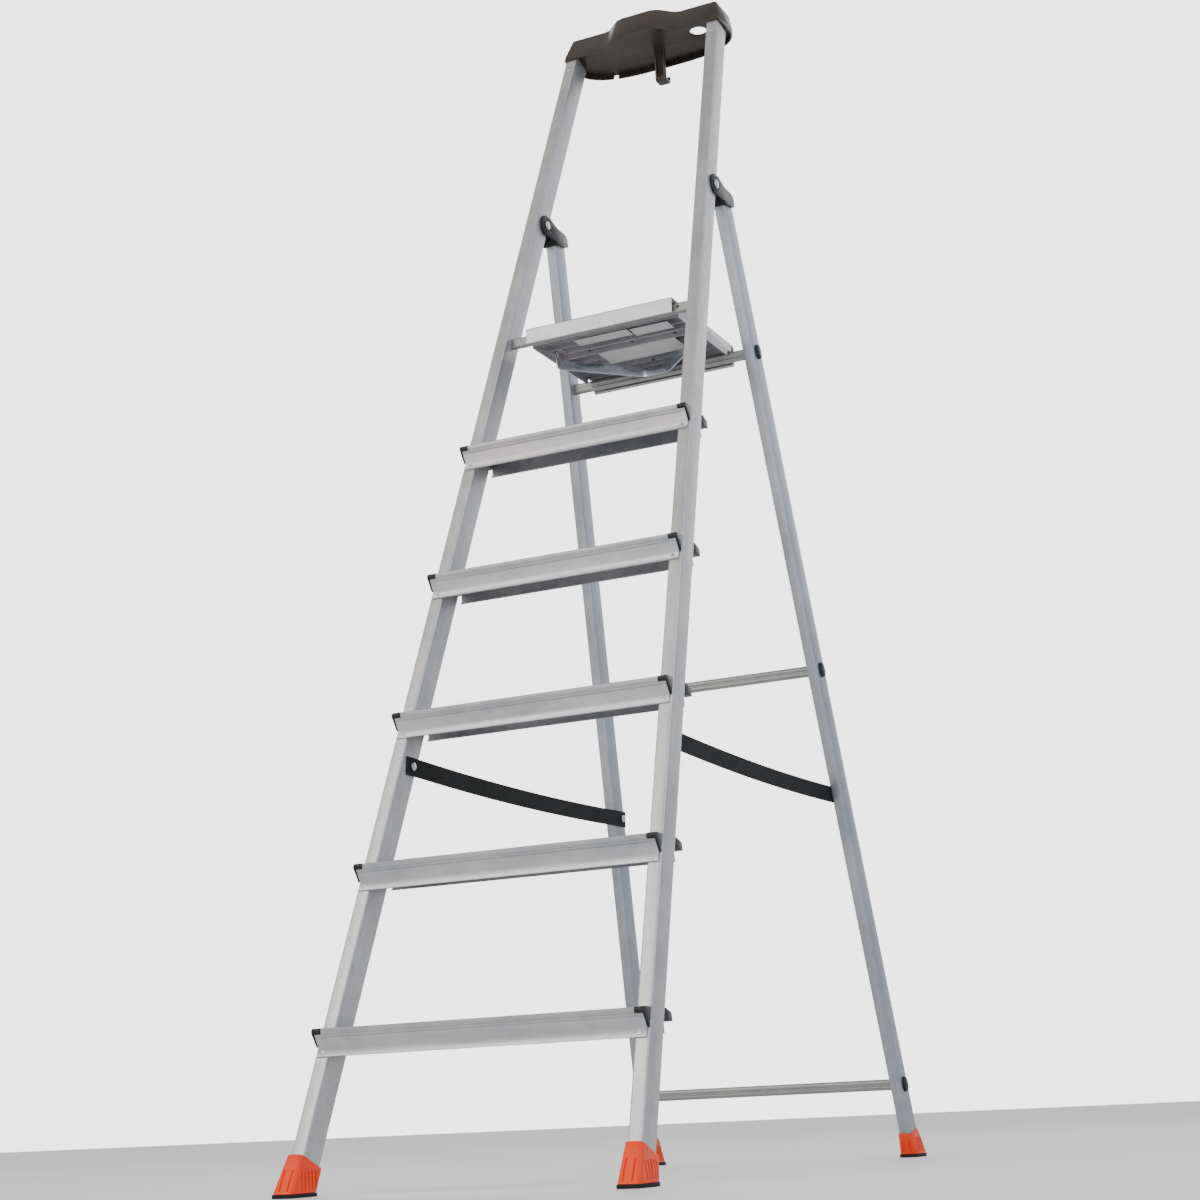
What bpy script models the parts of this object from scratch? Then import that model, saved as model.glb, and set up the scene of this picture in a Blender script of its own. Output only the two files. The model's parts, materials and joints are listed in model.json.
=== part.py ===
"""Folding step ladder: five treads, a platform, a tool tray and a swing-out rear frame.

Metres, +Z up.  The floor is z = 0, the climbing side faces -Y and x = 0 is the middle.
While it is built, y = 0 is where the front faces of the stiles meet the floor.  At the end
everything moves forward by CENTRE_Y, so the origin is under the middle of the ladder.
"""
import bmesh
import bpy
from math import atan, cos, pi, radians, sin, tan
from mathutils import Matrix, Vector

# ---- driving dimensions -------------------------------------------------------------
GAP = 0.0003                    # air left between touching solids
FRONT_LEAN = radians(21.6)      # front frame, from the vertical
REAR_LEAN = radians(14.1)       # rear frame, from the vertical

FRONT_HALF_WIDTH = 0.248        # outer face of a front stile on the floor
FRONT_TAPER = 0.055             # how much nearer to the middle for each metre of height
STILE_WIDE = 0.020
STILE_DEEP = 0.040
STILE_WALL = 0.0015
STILE_START = 0.030             # lower end, measured up the slope
STILE_TOP_Z = 1.8985            # upper end, cut level under the tray floor

HINGE_Y = 0.638
HINGE_Z = 1.533
PIN_RADIUS = 0.004
PIN_HEAD_RADIUS = 0.0075
PIN_HEAD_THICK = 0.002
EAR_RADIUS = 0.0180
EAR_THICK = 0.003
EAR_CLEAR = 0.0012              # side play between an ear and the stile

REAR_HALF_WIDTH = 0.2398
REAR_TAPER = 0.0509
LEG_WIDE = 0.018
LEG_DEEP = 0.037
LEG_WALL = 0.0014
LEG_SETBACK = 0.0337            # front face of a rear leg behind the hinge pin
LEG_TOP = -0.012                # along the leg, from the pin
LEG_BOTTOM = -1.5746
HINGE_CAP_BOTTOM = -0.029

BAR_HEIGHTS = {"lower": 0.114, "middle": 0.770, "top": 1.281}
BAR_TALL = 0.018
BAR_DEEP = 0.010
BAR_WALL = 0.0015
BAR_CAP_TALL = 0.024
BAR_CAP_DEEP = 0.018
BAR_CAP_THICK = 0.0045

STEP_COUNT = 5
STEP_PITCH = 0.220
FIRST_RIVET_Z = 0.178           # height of the rivets of the lowest step
STEP_SHEET = 0.0018
STEP_TOP = 0.030                # tread surface above the rivets
STEP_NOSE_Y = -0.0120           # front of the nose, from the rivets
STEP_REAR_Y = 0.0700
FLANGE_LOW = -0.0065            # lower edge of the riveted flange, along the slope
FLANGE_HIGH = 0.0055
CAP_PLATE = 0.0025              # end plate of a step cap
CAP_WEB = 0.0030                # web of a step cap between tread and stile
CAP_CORNER = 0.0140             # width of the black nose corner
CAP_END = 0.0105                # end block of a step cap behind the stile
CAP_BACK_Y = STILE_DEEP + GAP + CAP_WEB  # rear of a cap's cross web, behind the stile's front
NOSE_CUT_Z = 0.0225             # above this the nose corner belongs to the cap
TREAD_RIBS = 12
TREAD_RIB_HIGH = 0.0007

FRONT_BAR_Y = 0.534
FRONT_BAR_Z = 1.290
DECK_HALF = 0.128
DECK_FRONT_Y = 0.5215
DECK_HOOK_Y = 0.7660            # front face of the hook flange behind the rear bar
DECK_TOP_Z = 1.3065
DECK_SKIN = 0.0020
DECK_RIB_Z = 1.2935             # lower edge of the stiffening ribs
DECK_LIP_Z = 1.2810
HOOK_LOW_Z = 1.2705
SIDE_PLATE_LOW_Z = 1.2915       # side plates over the rear bar

BAIL_PIVOT_Y = 0.6250
BAIL_PIVOT_Z = 1.2970
BAIL_LOW_Z = 1.2725
BAIL_HIGH_Z = 1.2885
BAIL_REAR_Y = 0.7415
BAIL_HALF = 0.0225
BAIL_SHEET = 0.0020

TRAY_LOW_Z = 1.8880
TRAY_FLOOR_Z = 1.8990
TRAY_TOP_Z = 1.9320
TRAY_WALL = 0.0026
TRAY_HALF = 0.1475
TRAY_DRAFT_Z = 1.8995             # above this the ends of the tray close in
TRAY_DRAFT = 0.0095              # by this much at the rim

STRAP_Z = 0.573
STRAP_FRONT_Y = 0.2403
STRAP_REAR_Y = 0.9520
STRAP_WIDE = 0.026
STRAP_THICK = 0.0014
STRAP_SAG = 0.007

BOOT_SOLE = 0.005
FRONT_BOOT_HIGH = 0.0425         # middle of the slanted mouth
REAR_BOOT_HIGH = 0.0405
BOOT_FLARE = 0.0055

CENTRE_Y = 0.5480
COLLECTION = "step_ladder"
SIDES = (("left", -1.0), ("right", 1.0))

COLOURS = {
    "aluminium": ((0.62, 0.63, 0.62, 1.0), 0.34, 1.0),
    "tread": ((0.56, 0.56, 0.57, 1.0), 0.42, 1.0),
    "steel": ((0.42, 0.44, 0.46, 1.0), 0.30, 1.0),
    "black": ((0.025, 0.026, 0.027, 1.0), 0.50, 0.0),
    "tray": ((0.045, 0.040, 0.036, 1.0), 0.46, 0.0),
    "webbing": ((0.022, 0.023, 0.024, 1.0), 0.85, 0.0),
    "orange": ((0.84, 0.10, 0.02, 1.0), 0.42, 0.0),
    "rubber": ((0.018, 0.018, 0.018, 1.0), 0.75, 0.0),
}


# ---- scene helpers ------------------------------------------------------------------
def clear_scene():
    for item in list(bpy.data.objects):
        bpy.data.objects.remove(item, do_unlink=True)


def new_collection(name):
    collection = bpy.data.collections.new(name)
    bpy.context.scene.collection.children.link(collection)
    return collection


def material(name):
    found = bpy.data.materials.get(name)
    if found:
        return found
    colour, roughness, metallic = COLOURS[name]
    made = bpy.data.materials.new(name)
    made.use_nodes = True
    shader = made.node_tree.nodes["Principled BSDF"]
    shader.inputs["Base Color"].default_value = colour
    shader.inputs["Roughness"].default_value = roughness
    shader.inputs["Metallic"].default_value = metallic
    return made


def add_object(name, bm, finish, parent=None, where=None, smooth=30.0):
    """Link a bmesh as a named part of the ladder."""
    bmesh.ops.recalc_face_normals(bm, faces=bm.faces[:])
    mesh = bpy.data.meshes.new(name)
    bm.to_mesh(mesh)
    bm.free()
    mesh.shade_smooth()
    mesh.set_sharp_from_angle(angle=radians(smooth))
    made = bpy.data.objects.new(name, mesh)
    mesh.materials.append(material(finish))
    PARTS.objects.link(made)
    made.parent = parent
    made.matrix_basis = where or Matrix.Identity(4)
    return made


def add_cutter(name, bm, parent=None, where=None):
    bmesh.ops.recalc_face_normals(bm, faces=bm.faces[:])
    mesh = bpy.data.meshes.new(name)
    bm.to_mesh(mesh)
    bm.free()
    made = bpy.data.objects.new(name, mesh)
    CUTTERS.objects.link(made)
    made.parent = parent
    made.matrix_basis = where or Matrix.Identity(4)
    made.hide_render = True
    made.display_type = "WIRE"
    return made


def boolean(target, other, operation="DIFFERENCE"):
    modifier = target.modifiers.new(operation.lower(), "BOOLEAN")
    modifier.object = other
    modifier.operation = operation
    modifier.solver = "EXACT"


def empty(name, location, angle):
    made = bpy.data.objects.new(name, None)
    PARTS.objects.link(made)
    made.location = location
    made.rotation_euler = (angle, 0.0, 0.0)
    return made


# ---- shape helpers ------------------------------------------------------------------
def box(low, high):
    bm = bmesh.new()
    bmesh.ops.create_cube(bm, size=1.0)
    size = Vector(high) - Vector(low)
    middle = (Vector(high) + Vector(low)) / 2
    bmesh.ops.scale(bm, vec=size, verts=bm.verts[:])
    bmesh.ops.translate(bm, vec=middle, verts=bm.verts[:])
    return bm


def extrude_outline(points, low, high, axis="x"):
    """Solid between low and high along an axis, from an outline in the other two axes."""
    bm = bmesh.new()
    if axis == "x":
        verts = [bm.verts.new((low, a, b)) for a, b in points]
        step = Vector((high - low, 0, 0))
    else:
        verts = [bm.verts.new((a, b, low)) for a, b in points]
        step = Vector((0, 0, high - low))
    face = bm.faces.new(verts)
    grown = bmesh.ops.extrude_face_region(bm, geom=[face])
    moved = [item for item in grown["geom"] if isinstance(item, bmesh.types.BMVert)]
    bmesh.ops.translate(bm, vec=step, verts=moved)
    return bm


def arc(centre, radius, start, stop, count):
    turn = [start + (stop - start) * i / count for i in range(count + 1)]
    return [(centre[0] + radius * cos(a), centre[1] + radius * sin(a)) for a in turn]


def oval(deep, tall, count=6):
    """Stadium outline, upright, in the (y, z) plane about the origin."""
    radius = deep / 2
    rise = tall / 2 - radius
    return arc((0, rise), radius, 0, pi, count) + arc((0, -rise), radius, pi, 2 * pi, count)


def rounded_box(low, high, radius, edges="all", segments=2):
    bm = box(low, high)
    chosen = bm.edges[:]
    if edges == "long":
        chosen = [e for e in bm.edges if abs((e.verts[0].co - e.verts[1].co).z) > 1e-6]
    bmesh.ops.bevel(bm, geom=chosen, offset=radius, segments=segments, profile=0.5,
                    affect="EDGES", clamp_overlap=True)
    return bm


def cylinder(radius, low, high, segments=24):
    """Cylinder along X."""
    bm = bmesh.new()
    turn = Matrix.Rotation(pi / 2, 4, "Y")
    shift = Matrix.Translation(((low + high) / 2, 0, 0))
    bmesh.ops.create_cone(bm, cap_ends=True, segments=segments, radius1=radius,
                          radius2=radius, depth=high - low, matrix=shift @ turn)
    return bm


def join(first, *others):
    """Copy closed shells into one bmesh (they must not touch)."""
    for other in others:
        mesh = bpy.data.meshes.new("joined")
        other.to_mesh(mesh)
        other.free()
        first.from_mesh(mesh)
        bpy.data.meshes.remove(mesh)
    return first


def headed_pin(radius, low, high, head_radius, head_thick, both=False, segments=24):
    """Turned pin along X with a flat-domed head at high, and at low if both."""
    profile = [(low, 0.0), (low, radius)]
    if both:
        profile = [(low - head_thick, 0.0), (low - head_thick, head_radius * 0.7),
                   (low - head_thick * 0.4, head_radius), (low, head_radius), (low, radius)]
    profile += [(high, radius), (high, head_radius), (high + head_thick * 0.4, head_radius),
                (high + head_thick, head_radius * 0.7), (high + head_thick, 0.0)]
    bm = bmesh.new()
    verts = [bm.verts.new((x, r, 0)) for x, r in profile]
    edges = [bm.edges.new(pair) for pair in zip(verts, verts[1:])]
    bmesh.ops.spin(bm, geom=verts + edges, axis=(1, 0, 0), cent=(0, 0, 0), angle=2 * pi,
                   steps=segments, use_merge=True)
    bmesh.ops.remove_doubles(bm, verts=bm.verts[:], dist=1e-6)
    return bm


def tube(low, high, wall, radius):
    """Rectangular tube along Z with rounded corners and open ends."""
    bm = rounded_box(low, high, radius, edges="long")
    ends = [f for f in bm.faces if abs(f.normal.z) > 0.9]
    bmesh.ops.delete(bm, geom=ends, context="FACES_ONLY")
    return bm


def solidify(target, thickness):
    modifier = target.modifiers.new("wall", "SOLIDIFY")
    modifier.thickness = thickness
    modifier.offset = -1.0
    modifier.use_even_offset = True
    modifier.use_rim = True


# ---- places on the two frames -------------------------------------------------------
def front_plane_y(height):
    return tan(FRONT_LEAN) * height


def front_half_width(height, y=None):
    """Outer face of a front stile at a height, on its front face or at a given y."""
    behind = 0.0 if y is None else (y - front_plane_y(height)) * cos(FRONT_LEAN)
    return FRONT_HALF_WIDTH - FRONT_TAPER * (height + behind * sin(FRONT_LEAN))


def rear_half_width(height, y=None):
    """Outer face of a rear leg at a height, level with the pin or at a given y."""
    behind = 0.0
    if y is not None:
        behind = (y - HINGE_Y) * cos(REAR_LEAN) + (height - HINGE_Z) * sin(REAR_LEAN)
    return REAR_HALF_WIDTH - REAR_TAPER * (height - behind * sin(REAR_LEAN))


def stile_matrix(side):
    """Stile frame: Z up the stile, X across, origin on the outer front edge at the floor."""
    tilt = atan(FRONT_TAPER * cos(FRONT_LEAN))
    return (Matrix.Rotation(-FRONT_LEAN, 4, "X")
            @ Matrix.Translation((side * FRONT_HALF_WIDTH, 0, 0))
            @ Matrix.Rotation(-side * tilt, 4, "Y"))


def leg_matrix(side):
    """Leg frame: Z up the leg, X across, origin on its outer face level with the pin."""
    tilt = atan(REAR_TAPER * cos(REAR_LEAN))
    return (Matrix.Translation((side * rear_half_width(HINGE_Z), HINGE_Y, HINGE_Z))
            @ Matrix.Rotation(REAR_LEAN, 4, "X")
            @ Matrix.Rotation(-side * tilt, 4, "Y"))


def across(side, inner, outer):
    """Low and high x of something that lies between two depths inside an outer face."""
    return sorted((-side * inner, -side * outer))


def rear_point(height, behind):
    """World y and z of the point at a height on the line 'behind' the hinge pin."""
    along = (height - HINGE_Z - behind * sin(REAR_LEAN)) / cos(REAR_LEAN)
    y = HINGE_Y + behind * cos(REAR_LEAN) - along * sin(REAR_LEAN)
    return y, height


LEG_MIDDLE = LEG_SETBACK + LEG_DEEP / 2


# ---- front frame --------------------------------------------------------------------
def stile_box(side, clear, start, stop):
    low_x, high_x = across(side, -clear, STILE_WIDE + clear)
    return box((low_x, -clear, start), (high_x, STILE_DEEP + clear, stop))


def add_stiles():
    level = box((-1, -1, STILE_TOP_Z), (1, 2, STILE_TOP_Z + 0.5))
    top_cutter = add_cutter("cut_stile_tops", level)
    for label, side in SIDES:
        low_x, high_x = across(side, 0, STILE_WIDE)
        bm = tube((low_x, 0, STILE_START), (high_x, STILE_DEEP, 2.08), STILE_WALL, 0.0022)
        made = add_object("stile_" + label, bm, "aluminium", where=stile_matrix(side))
        solidify(made, STILE_WALL)
        boolean(made, top_cutter)
        STILES[label] = made


def bore_stiles():
    """Holes for the hinge pins, strap rivets and tray rivets."""
    for label, side in SIDES:
        outer = side * front_half_width(HINGE_Z, HINGE_Y)
        pin = cylinder(PIN_RADIUS + GAP, -0.05, 0.05)
        where = Matrix.Translation((outer, HINGE_Y, HINGE_Z))
        boolean(STILES[label], add_cutter("cut_pin_" + label, pin, where=where))
        y = STRAP_RIVETS["front"]
        inner = side * (front_half_width(STRAP_Z, y) - STILE_WIDE)
        rivet = cylinder(RIVET_SHANK + GAP, -0.006, 0.006, 16)
        where = Matrix.Translation((inner, y, STRAP_Z))
        boolean(STILES[label], add_cutter("cut_strap_front_" + label, rivet, where=where))
        rivet = cylinder(RIVET_SHANK + GAP, -0.006, 0.006, 16)
        boolean(STILES[label], add_cutter("cut_tray_" + label, rivet, where=tray_rivet(side)))


def tray_rivet(side):
    """Frame of a tray rivet: +X points out of the stile's front face."""
    height = TRAY_RIVET_Z
    middle = side * (front_half_width(height) - STILE_WIDE / 2)
    return (Matrix.Translation((middle, front_plane_y(height), height))
            @ Matrix.Rotation(-FRONT_LEAN, 4, "X") @ Matrix.Rotation(-pi / 2, 4, "Z"))


def step_profile():
    """Closed outline of the step extrusion, (y, z) from its rivets."""
    up = Vector((sin(FRONT_LEAN), cos(FRONT_LEAN)))
    back = Vector((cos(FRONT_LEAN), -sin(FRONT_LEAN)))
    sheet = STEP_SHEET
    face = -back * (sheet + GAP)
    flange_low = up * FLANGE_LOW + face
    flange_high = up * FLANGE_HIGH + face
    nose = Vector((STEP_NOSE_Y, STEP_TOP - 0.0050))
    points = [flange_low, flange_high]
    slope = (nose - flange_high).normalized()
    for place in (0.62, 0.80):             # two shallow grooves below the nose
        spot = flange_high.lerp(nose, place)
        points += [spot, spot + slope * 0.0004 + Vector((0.0003, 0.0)),
                   spot + slope * 0.0010 + Vector((0.0003, 0.0)), spot + slope * 0.0014]
    points += [nose, Vector((STEP_NOSE_Y, STEP_TOP - 0.0014)),
               Vector((STEP_NOSE_Y + 0.0012, STEP_TOP))]
    first = STEP_NOSE_Y + 0.0060
    pitch = (STEP_REAR_Y - 0.006 - first) / TREAD_RIBS
    for i in range(TREAD_RIBS):
        y = first + pitch * i
        low = STEP_TOP - TREAD_RIB_HIGH
        points += [Vector((y, STEP_TOP)), Vector((y + 0.0006, low)),
                   Vector((y + pitch * 0.5 - 0.0006, low)), Vector((y + pitch * 0.5, STEP_TOP))]
    points += [Vector((STEP_REAR_Y - 0.0014, STEP_TOP)), Vector((STEP_REAR_Y, STEP_TOP - 0.0014)),
               Vector((STEP_REAR_Y, 0.0)), Vector((STEP_REAR_Y - 0.0040, -0.0005)),
               Vector((STEP_REAR_Y - 0.0040, 0.0020)), Vector((STEP_REAR_Y - sheet, 0.0024))]
    under = STEP_TOP - TREAD_RIB_HIGH - sheet
    points += [Vector((STEP_REAR_Y - sheet, under))]
    for y in (0.048, 0.024):                # two webs under the tread
        points += [Vector((y, under)), Vector((y, under - 0.006)),
                   Vector((y - 0.0016, under - 0.006)), Vector((y - 0.0016, under))]
    inner_high = up * (FLANGE_HIGH + 0.0006) - back * GAP
    points += [Vector((STEP_NOSE_Y + 0.0030, under)),
               Vector((STEP_NOSE_Y + 0.0024, STEP_TOP - 0.0056)),
               inner_high, up * FLANGE_LOW - back * GAP]
    return [(p.x, p.y) for p in points]


def step_end_slots(index, rivet_z):
    """Cutter that makes room in a step for the stiles and the end caps behind them."""
    shells = []
    reach = 0.12
    for _, side in SIDES:
        along = rivet_z / cos(FRONT_LEAN)
        low_x, high_x = across(side, -0.05, STILE_WIDE + CAP_WEB + GAP)
        room = box((low_x, -GAP * 0.5, along - reach), (high_x, CAP_BACK_Y + GAP, along + reach))
        low_x, high_x = across(side, -0.05, CAP_END + GAP)
        end = box((low_x, CAP_BACK_Y - 0.002, along - reach - 0.001), (high_x, 0.16, along + reach + 0.001))
        for bm in (room, end):
            bmesh.ops.transform(bm, matrix=stile_matrix(side), verts=bm.verts[:])
            shells.append(bm)
    rooms = add_cutter("cut_step_slots_%d" % index, join(shells[0], shells[2]))
    ends = add_cutter("cut_step_ends_%d" % index, join(shells[1], shells[3]))
    return rooms, ends


def step_nose_slots(index, rivet_z):
    """Cutter that takes the nose corners and the ends of the slanted face off a step."""
    shells = []
    half = front_half_width(rivet_z)
    y = front_plane_y(rivet_z)
    for _, side in SIDES:
        low_x, high_x = sorted((side * (half - CAP_CORNER - GAP), side * (half + 0.1)))
        corner = box((low_x, y - 0.05, rivet_z + NOSE_CUT_Z), (high_x, y + 0.012, rivet_z + 0.1))
        shells.append(corner)
    return add_cutter("cut_step_noses_%d" % index, join(*shells))


def add_steps():
    for index in range(STEP_COUNT):
        rivet_z = FIRST_RIVET_Z + STEP_PITCH * index
        half = front_half_width(rivet_z) - CAP_PLATE - GAP - 0.0008
        bm = extrude_outline(step_profile(), -half, half)
        where = Matrix.Translation((0, front_plane_y(rivet_z), rivet_z))
        made = add_object("step_%d" % (index + 1), bm, "tread", where=where)
        for cutter in step_end_slots(index, rivet_z):
            boolean(made, cutter)
        boolean(made, step_nose_slots(index, rivet_z))
        add_step_caps(index, rivet_z)


def cap_silhouette():
    """Side view of a step cap, (y, z) from the rivets: nose, top, rear buffer, web."""
    up = Vector((sin(FRONT_LEAN), cos(FRONT_LEAN)))
    low = up * (FLANGE_HIGH + 0.0015)
    nose = (STEP_NOSE_Y - 0.0014, STEP_TOP - 0.0052)
    rear = STEP_REAR_Y + 0.0030
    points = [(low.x - 0.0022, low.y), nose]
    points += arc((STEP_NOSE_Y + 0.0022, STEP_TOP - 0.0030), 0.0036, pi * 1.05, pi * 0.5, 4)
    points += [(rear - 0.018, STEP_TOP + 0.0006), (rear - 0.0035, STEP_TOP - 0.0042)]
    points += arc((rear - 0.0020, STEP_TOP - 0.0064), 0.0020, pi * 0.25, 0, 2)
    points += [(rear, 0.0142), (low.x + 0.001, 0.0142), (low.x, low.y)]
    return points


def add_step_caps(index, rivet_z):
    """Black end caps: a nose gusset before the stile, a web beside it, a buffer behind it."""
    y = front_plane_y(rivet_z)
    slope_low = Vector((sin(FRONT_LEAN), cos(FRONT_LEAN))) * FLANGE_HIGH
    for label, side in SIDES:
        half = front_half_width(rivet_z)
        low_x, high_x = sorted((side * (half - 0.04), side * (half + 0.01)))
        bm = extrude_outline(cap_silhouette(), low_x, high_x)
        where = Matrix.Translation((0, y, rivet_z))
        made = add_object("step_%d_cap_%s" % (index + 1, label), bm, "black", where=where)
        along = rivet_z / cos(FRONT_LEAN)
        tag = "%d_%s" % (index, label)
        low_x, high_x = across(side, 0, STILE_WIDE + CAP_WEB)
        limits = box((low_x, -0.1, along - 0.1), (high_x, 0.2, along + 0.1))
        limits = add_cutter("keep_cap_" + tag, limits, where=stile_matrix(side))
        boolean(made, limits, "INTERSECT")
        stile = stile_box(side, GAP, along - 0.1, along + 0.1)
        boolean(made, add_cutter("cut_cap_stile_" + tag, stile, where=stile_matrix(side)))
        low_x, high_x = across(side, CAP_END, 0.06)
        behind = box((low_x, CAP_BACK_Y, along - 0.11), (high_x, 0.16, along + 0.11))
        boolean(made, add_cutter("cut_cap_behind_" + tag, behind, where=stile_matrix(side)))
        room = [(-0.030, -0.020), (-0.030, NOSE_CUT_Z + GAP), (STEP_NOSE_Y + 0.0056, NOSE_CUT_Z + GAP),
                (slope_low.x + 0.0010, slope_low.y + 0.0012), (slope_low.x + 0.0010, -0.020)]
        inner, outer = sorted((side * (half - 0.06), side * (half - CAP_PLATE - 0.0008)))
        sheet = extrude_outline(room, inner, outer)
        boolean(made, add_cutter("cut_cap_sheet_" + tag, sheet, where=where))
        low, high = NOSE_CUT_Z - GAP, STEP_TOP + 0.02
        front = [(-0.030, low), (-0.030, high), (front_plane_y(high) + GAP, high),
                 (front_plane_y(low) + GAP, low)]
        limit = half - CAP_CORNER
        inner, outer = sorted((side * (half - 0.06), side * limit))
        trim = extrude_outline(front, inner, outer)
        boolean(made, add_cutter("cut_cap_front_" + tag, trim, where=where))


# ---- tool tray ----------------------------------------------------------------------
def tray_outline(inset=0.0):
    """Plan of the tray at its lower edge: bulged front, straight sides, round back."""
    front = front_plane_y(TRAY_LOW_Z) - 0.0030
    bulge = front - 0.0290
    half = TRAY_HALF
    right = [(0.028, bulge), (0.033, bulge + 0.0015)]
    for i in range(1, 6):
        share = i / 6
        ease = share * share * (3 - 2 * share)
        right.append((0.033 + share * 0.043, bulge + 0.0015 + (front - bulge - 0.0015) * ease))
    right += [(0.078, front), (half - 0.003, front), (half, front + 0.003)]
    rear = []
    deep = 0.858
    shoulder = 0.800
    for i in range(11):
        turn = (pi / 2) * i / 10
        rear.append((half * cos(turn) ** 0.62 if i < 10 else 0.0,
                     shoulder + (deep - shoulder) * sin(turn)))
    right += rear
    points = [(x, y) for x, y in right]
    points += [(-x, y) for x, y in reversed(right[:-1])]
    if not inset:
        return points
    middle = Vector((0.0, (front + deep) / 2))
    shrink_x = (half - inset) / half
    shrink_y = (deep - bulge - 2 * inset) / (deep - bulge)
    centre_y = (deep + bulge) / 2
    return [((x - middle.x) * shrink_x, centre_y + (y - centre_y) * shrink_y) for x, y in points]


def shear_back(bm, base_z):
    """Lean a shape back with the front frame, keeping its lower edge in place."""
    bmesh.ops.bisect_plane(bm, geom=bm.verts[:] + bm.edges[:] + bm.faces[:],
                           plane_co=(0, 0, TRAY_DRAFT_Z), plane_no=(0, 0, 1))
    for vert in bm.verts:
        vert.co.y += (vert.co.z - base_z) * tan(FRONT_LEAN)
        rise = max(0.0, vert.co.z - TRAY_DRAFT_Z) / (TRAY_TOP_Z - TRAY_DRAFT_Z)
        vert.co.x *= 1 - rise * TRAY_DRAFT / TRAY_HALF


def add_tray():
    bm = extrude_outline(tray_outline(), TRAY_LOW_Z, TRAY_TOP_Z, axis="z")
    shear_back(bm, TRAY_LOW_Z)
    tray = add_object("tool_tray", bm, "tray")
    top = extrude_outline(tray_outline(TRAY_WALL), TRAY_FLOOR_Z + TRAY_WALL, TRAY_TOP_Z + 0.01, axis="z")
    shear_back(top, TRAY_LOW_Z)
    boolean(tray, add_cutter("cut_tray_top", top))
    under = extrude_outline(tray_outline(TRAY_WALL), TRAY_LOW_Z - 0.01, TRAY_FLOOR_Z, axis="z")
    shear_back(under, TRAY_LOW_Z)
    boolean(tray, add_cutter("cut_tray_under", under))
    add_tray_hole(tray)
    add_tray_sockets(tray)
    add_tray_hook(tray)


def add_tray_hole(tray):
    hole = bmesh.new()
    bmesh.ops.create_cone(hole, cap_ends=True, segments=28, radius1=0.0148, radius2=0.0148,
                          depth=0.06, matrix=Matrix.Translation((0.0935, 0.787, TRAY_FLOOR_Z)))
    boolean(tray, add_cutter("cut_tray_hole", hole))
    notch = box((-0.0990, 0.83, TRAY_LOW_Z - 0.01), (-0.0905, 0.90, TRAY_LOW_Z + 0.0095))
    boolean(tray, add_cutter("cut_tray_notch", notch))


def add_tray_sockets(tray):
    """Plugs under the tray floor that reach down into the stile tubes."""
    for label, side in SIDES:
        room = STILE_WALL + GAP
        low_x, high_x = across(side, room, STILE_WIDE - room)
        top = TRAY_FLOOR_Z / cos(FRONT_LEAN)
        plug = box((low_x, room, top - 0.065), (high_x, STILE_DEEP - room, top + 0.030))
        level = box((-1, -1, TRAY_FLOOR_Z + 0.001), (1, 2, TRAY_FLOOR_Z + 0.2))
        cutter = add_cutter("add_tray_plug_" + label, plug, where=stile_matrix(side))
        boolean(cutter, add_cutter("cut_plug_top_" + label, level))
        boolean(tray, cutter, "UNION")
        rivet = cylinder(RIVET_SHANK + GAP, -0.020, 0.006, 16)
        boolean(tray, add_cutter("cut_plug_rivet_" + label, rivet, where=tray_rivet(side)))


def add_tray_hook(tray):
    """J-shaped bucket hook under the tray, open to the rear."""
    front, thick, low = 0.8050, 0.0065, 1.8375
    outline = [(front, TRAY_FLOOR_Z + 0.001), (front, low + 0.004), (front + 0.004, low)]
    outline += [(front + 0.020, low), (front + 0.024, low + 0.004), (front + 0.024, low + 0.013)]
    outline += [(front + 0.020, low + 0.013), (front + 0.020, low + 0.005)]
    outline += [(front + 0.009, low + 0.005), (front + thick, low + 0.008)]
    outline += [(front + thick, TRAY_FLOOR_Z + 0.001)]
    hook = extrude_outline(outline, 0.0, 0.019)
    hook = add_cutter("add_tray_hook", hook)
    channel = box((0.0035, front - 0.01, low + 0.0065), (0.0155, front + 0.0035, TRAY_FLOOR_Z - 0.003))
    boolean(hook, add_cutter("cut_hook_channel", channel))
    boolean(tray, hook, "UNION")


# ---- fasteners ----------------------------------------------------------------------
RIVET_SHANK = 0.0030
RIVET_HEAD = 0.0060
RIVET_HEAD_THICK = 0.0016
STRAP_RIVETS = {"front": 0.2560, "rear": 0.9400}
TRAY_RIVET_Z = 1.8670


def add_tray_rivets():
    for label, side in SIDES:
        bm = headed_pin(RIVET_SHANK, -0.012, GAP, 0.0045, 0.0012, segments=16)
        add_object("tray_rivet_" + label, bm, "steel", where=tray_rivet(side))


def add_hinge_pins():
    for label, side in SIDES:
        outer = front_half_width(HINGE_Z, HINGE_Y)
        reach = EAR_CLEAR + EAR_THICK + GAP
        high = outer + reach
        low = outer - STILE_WIDE - reach
        bm = headed_pin(PIN_RADIUS, low, high, PIN_HEAD_RADIUS, PIN_HEAD_THICK, both=True, segments=32)
        where = Matrix.Translation((0, HINGE_Y, HINGE_Z)) @ Matrix.Diagonal((side, 1, 1, 1))
        bmesh.ops.transform(bm, matrix=Matrix.Diagonal((side, 1, 1, 1)), verts=bm.verts[:])
        where = Matrix.Translation((0, HINGE_Y, HINGE_Z))
        add_object("hinge_pin_" + label, bm, "steel", where=where)


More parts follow.
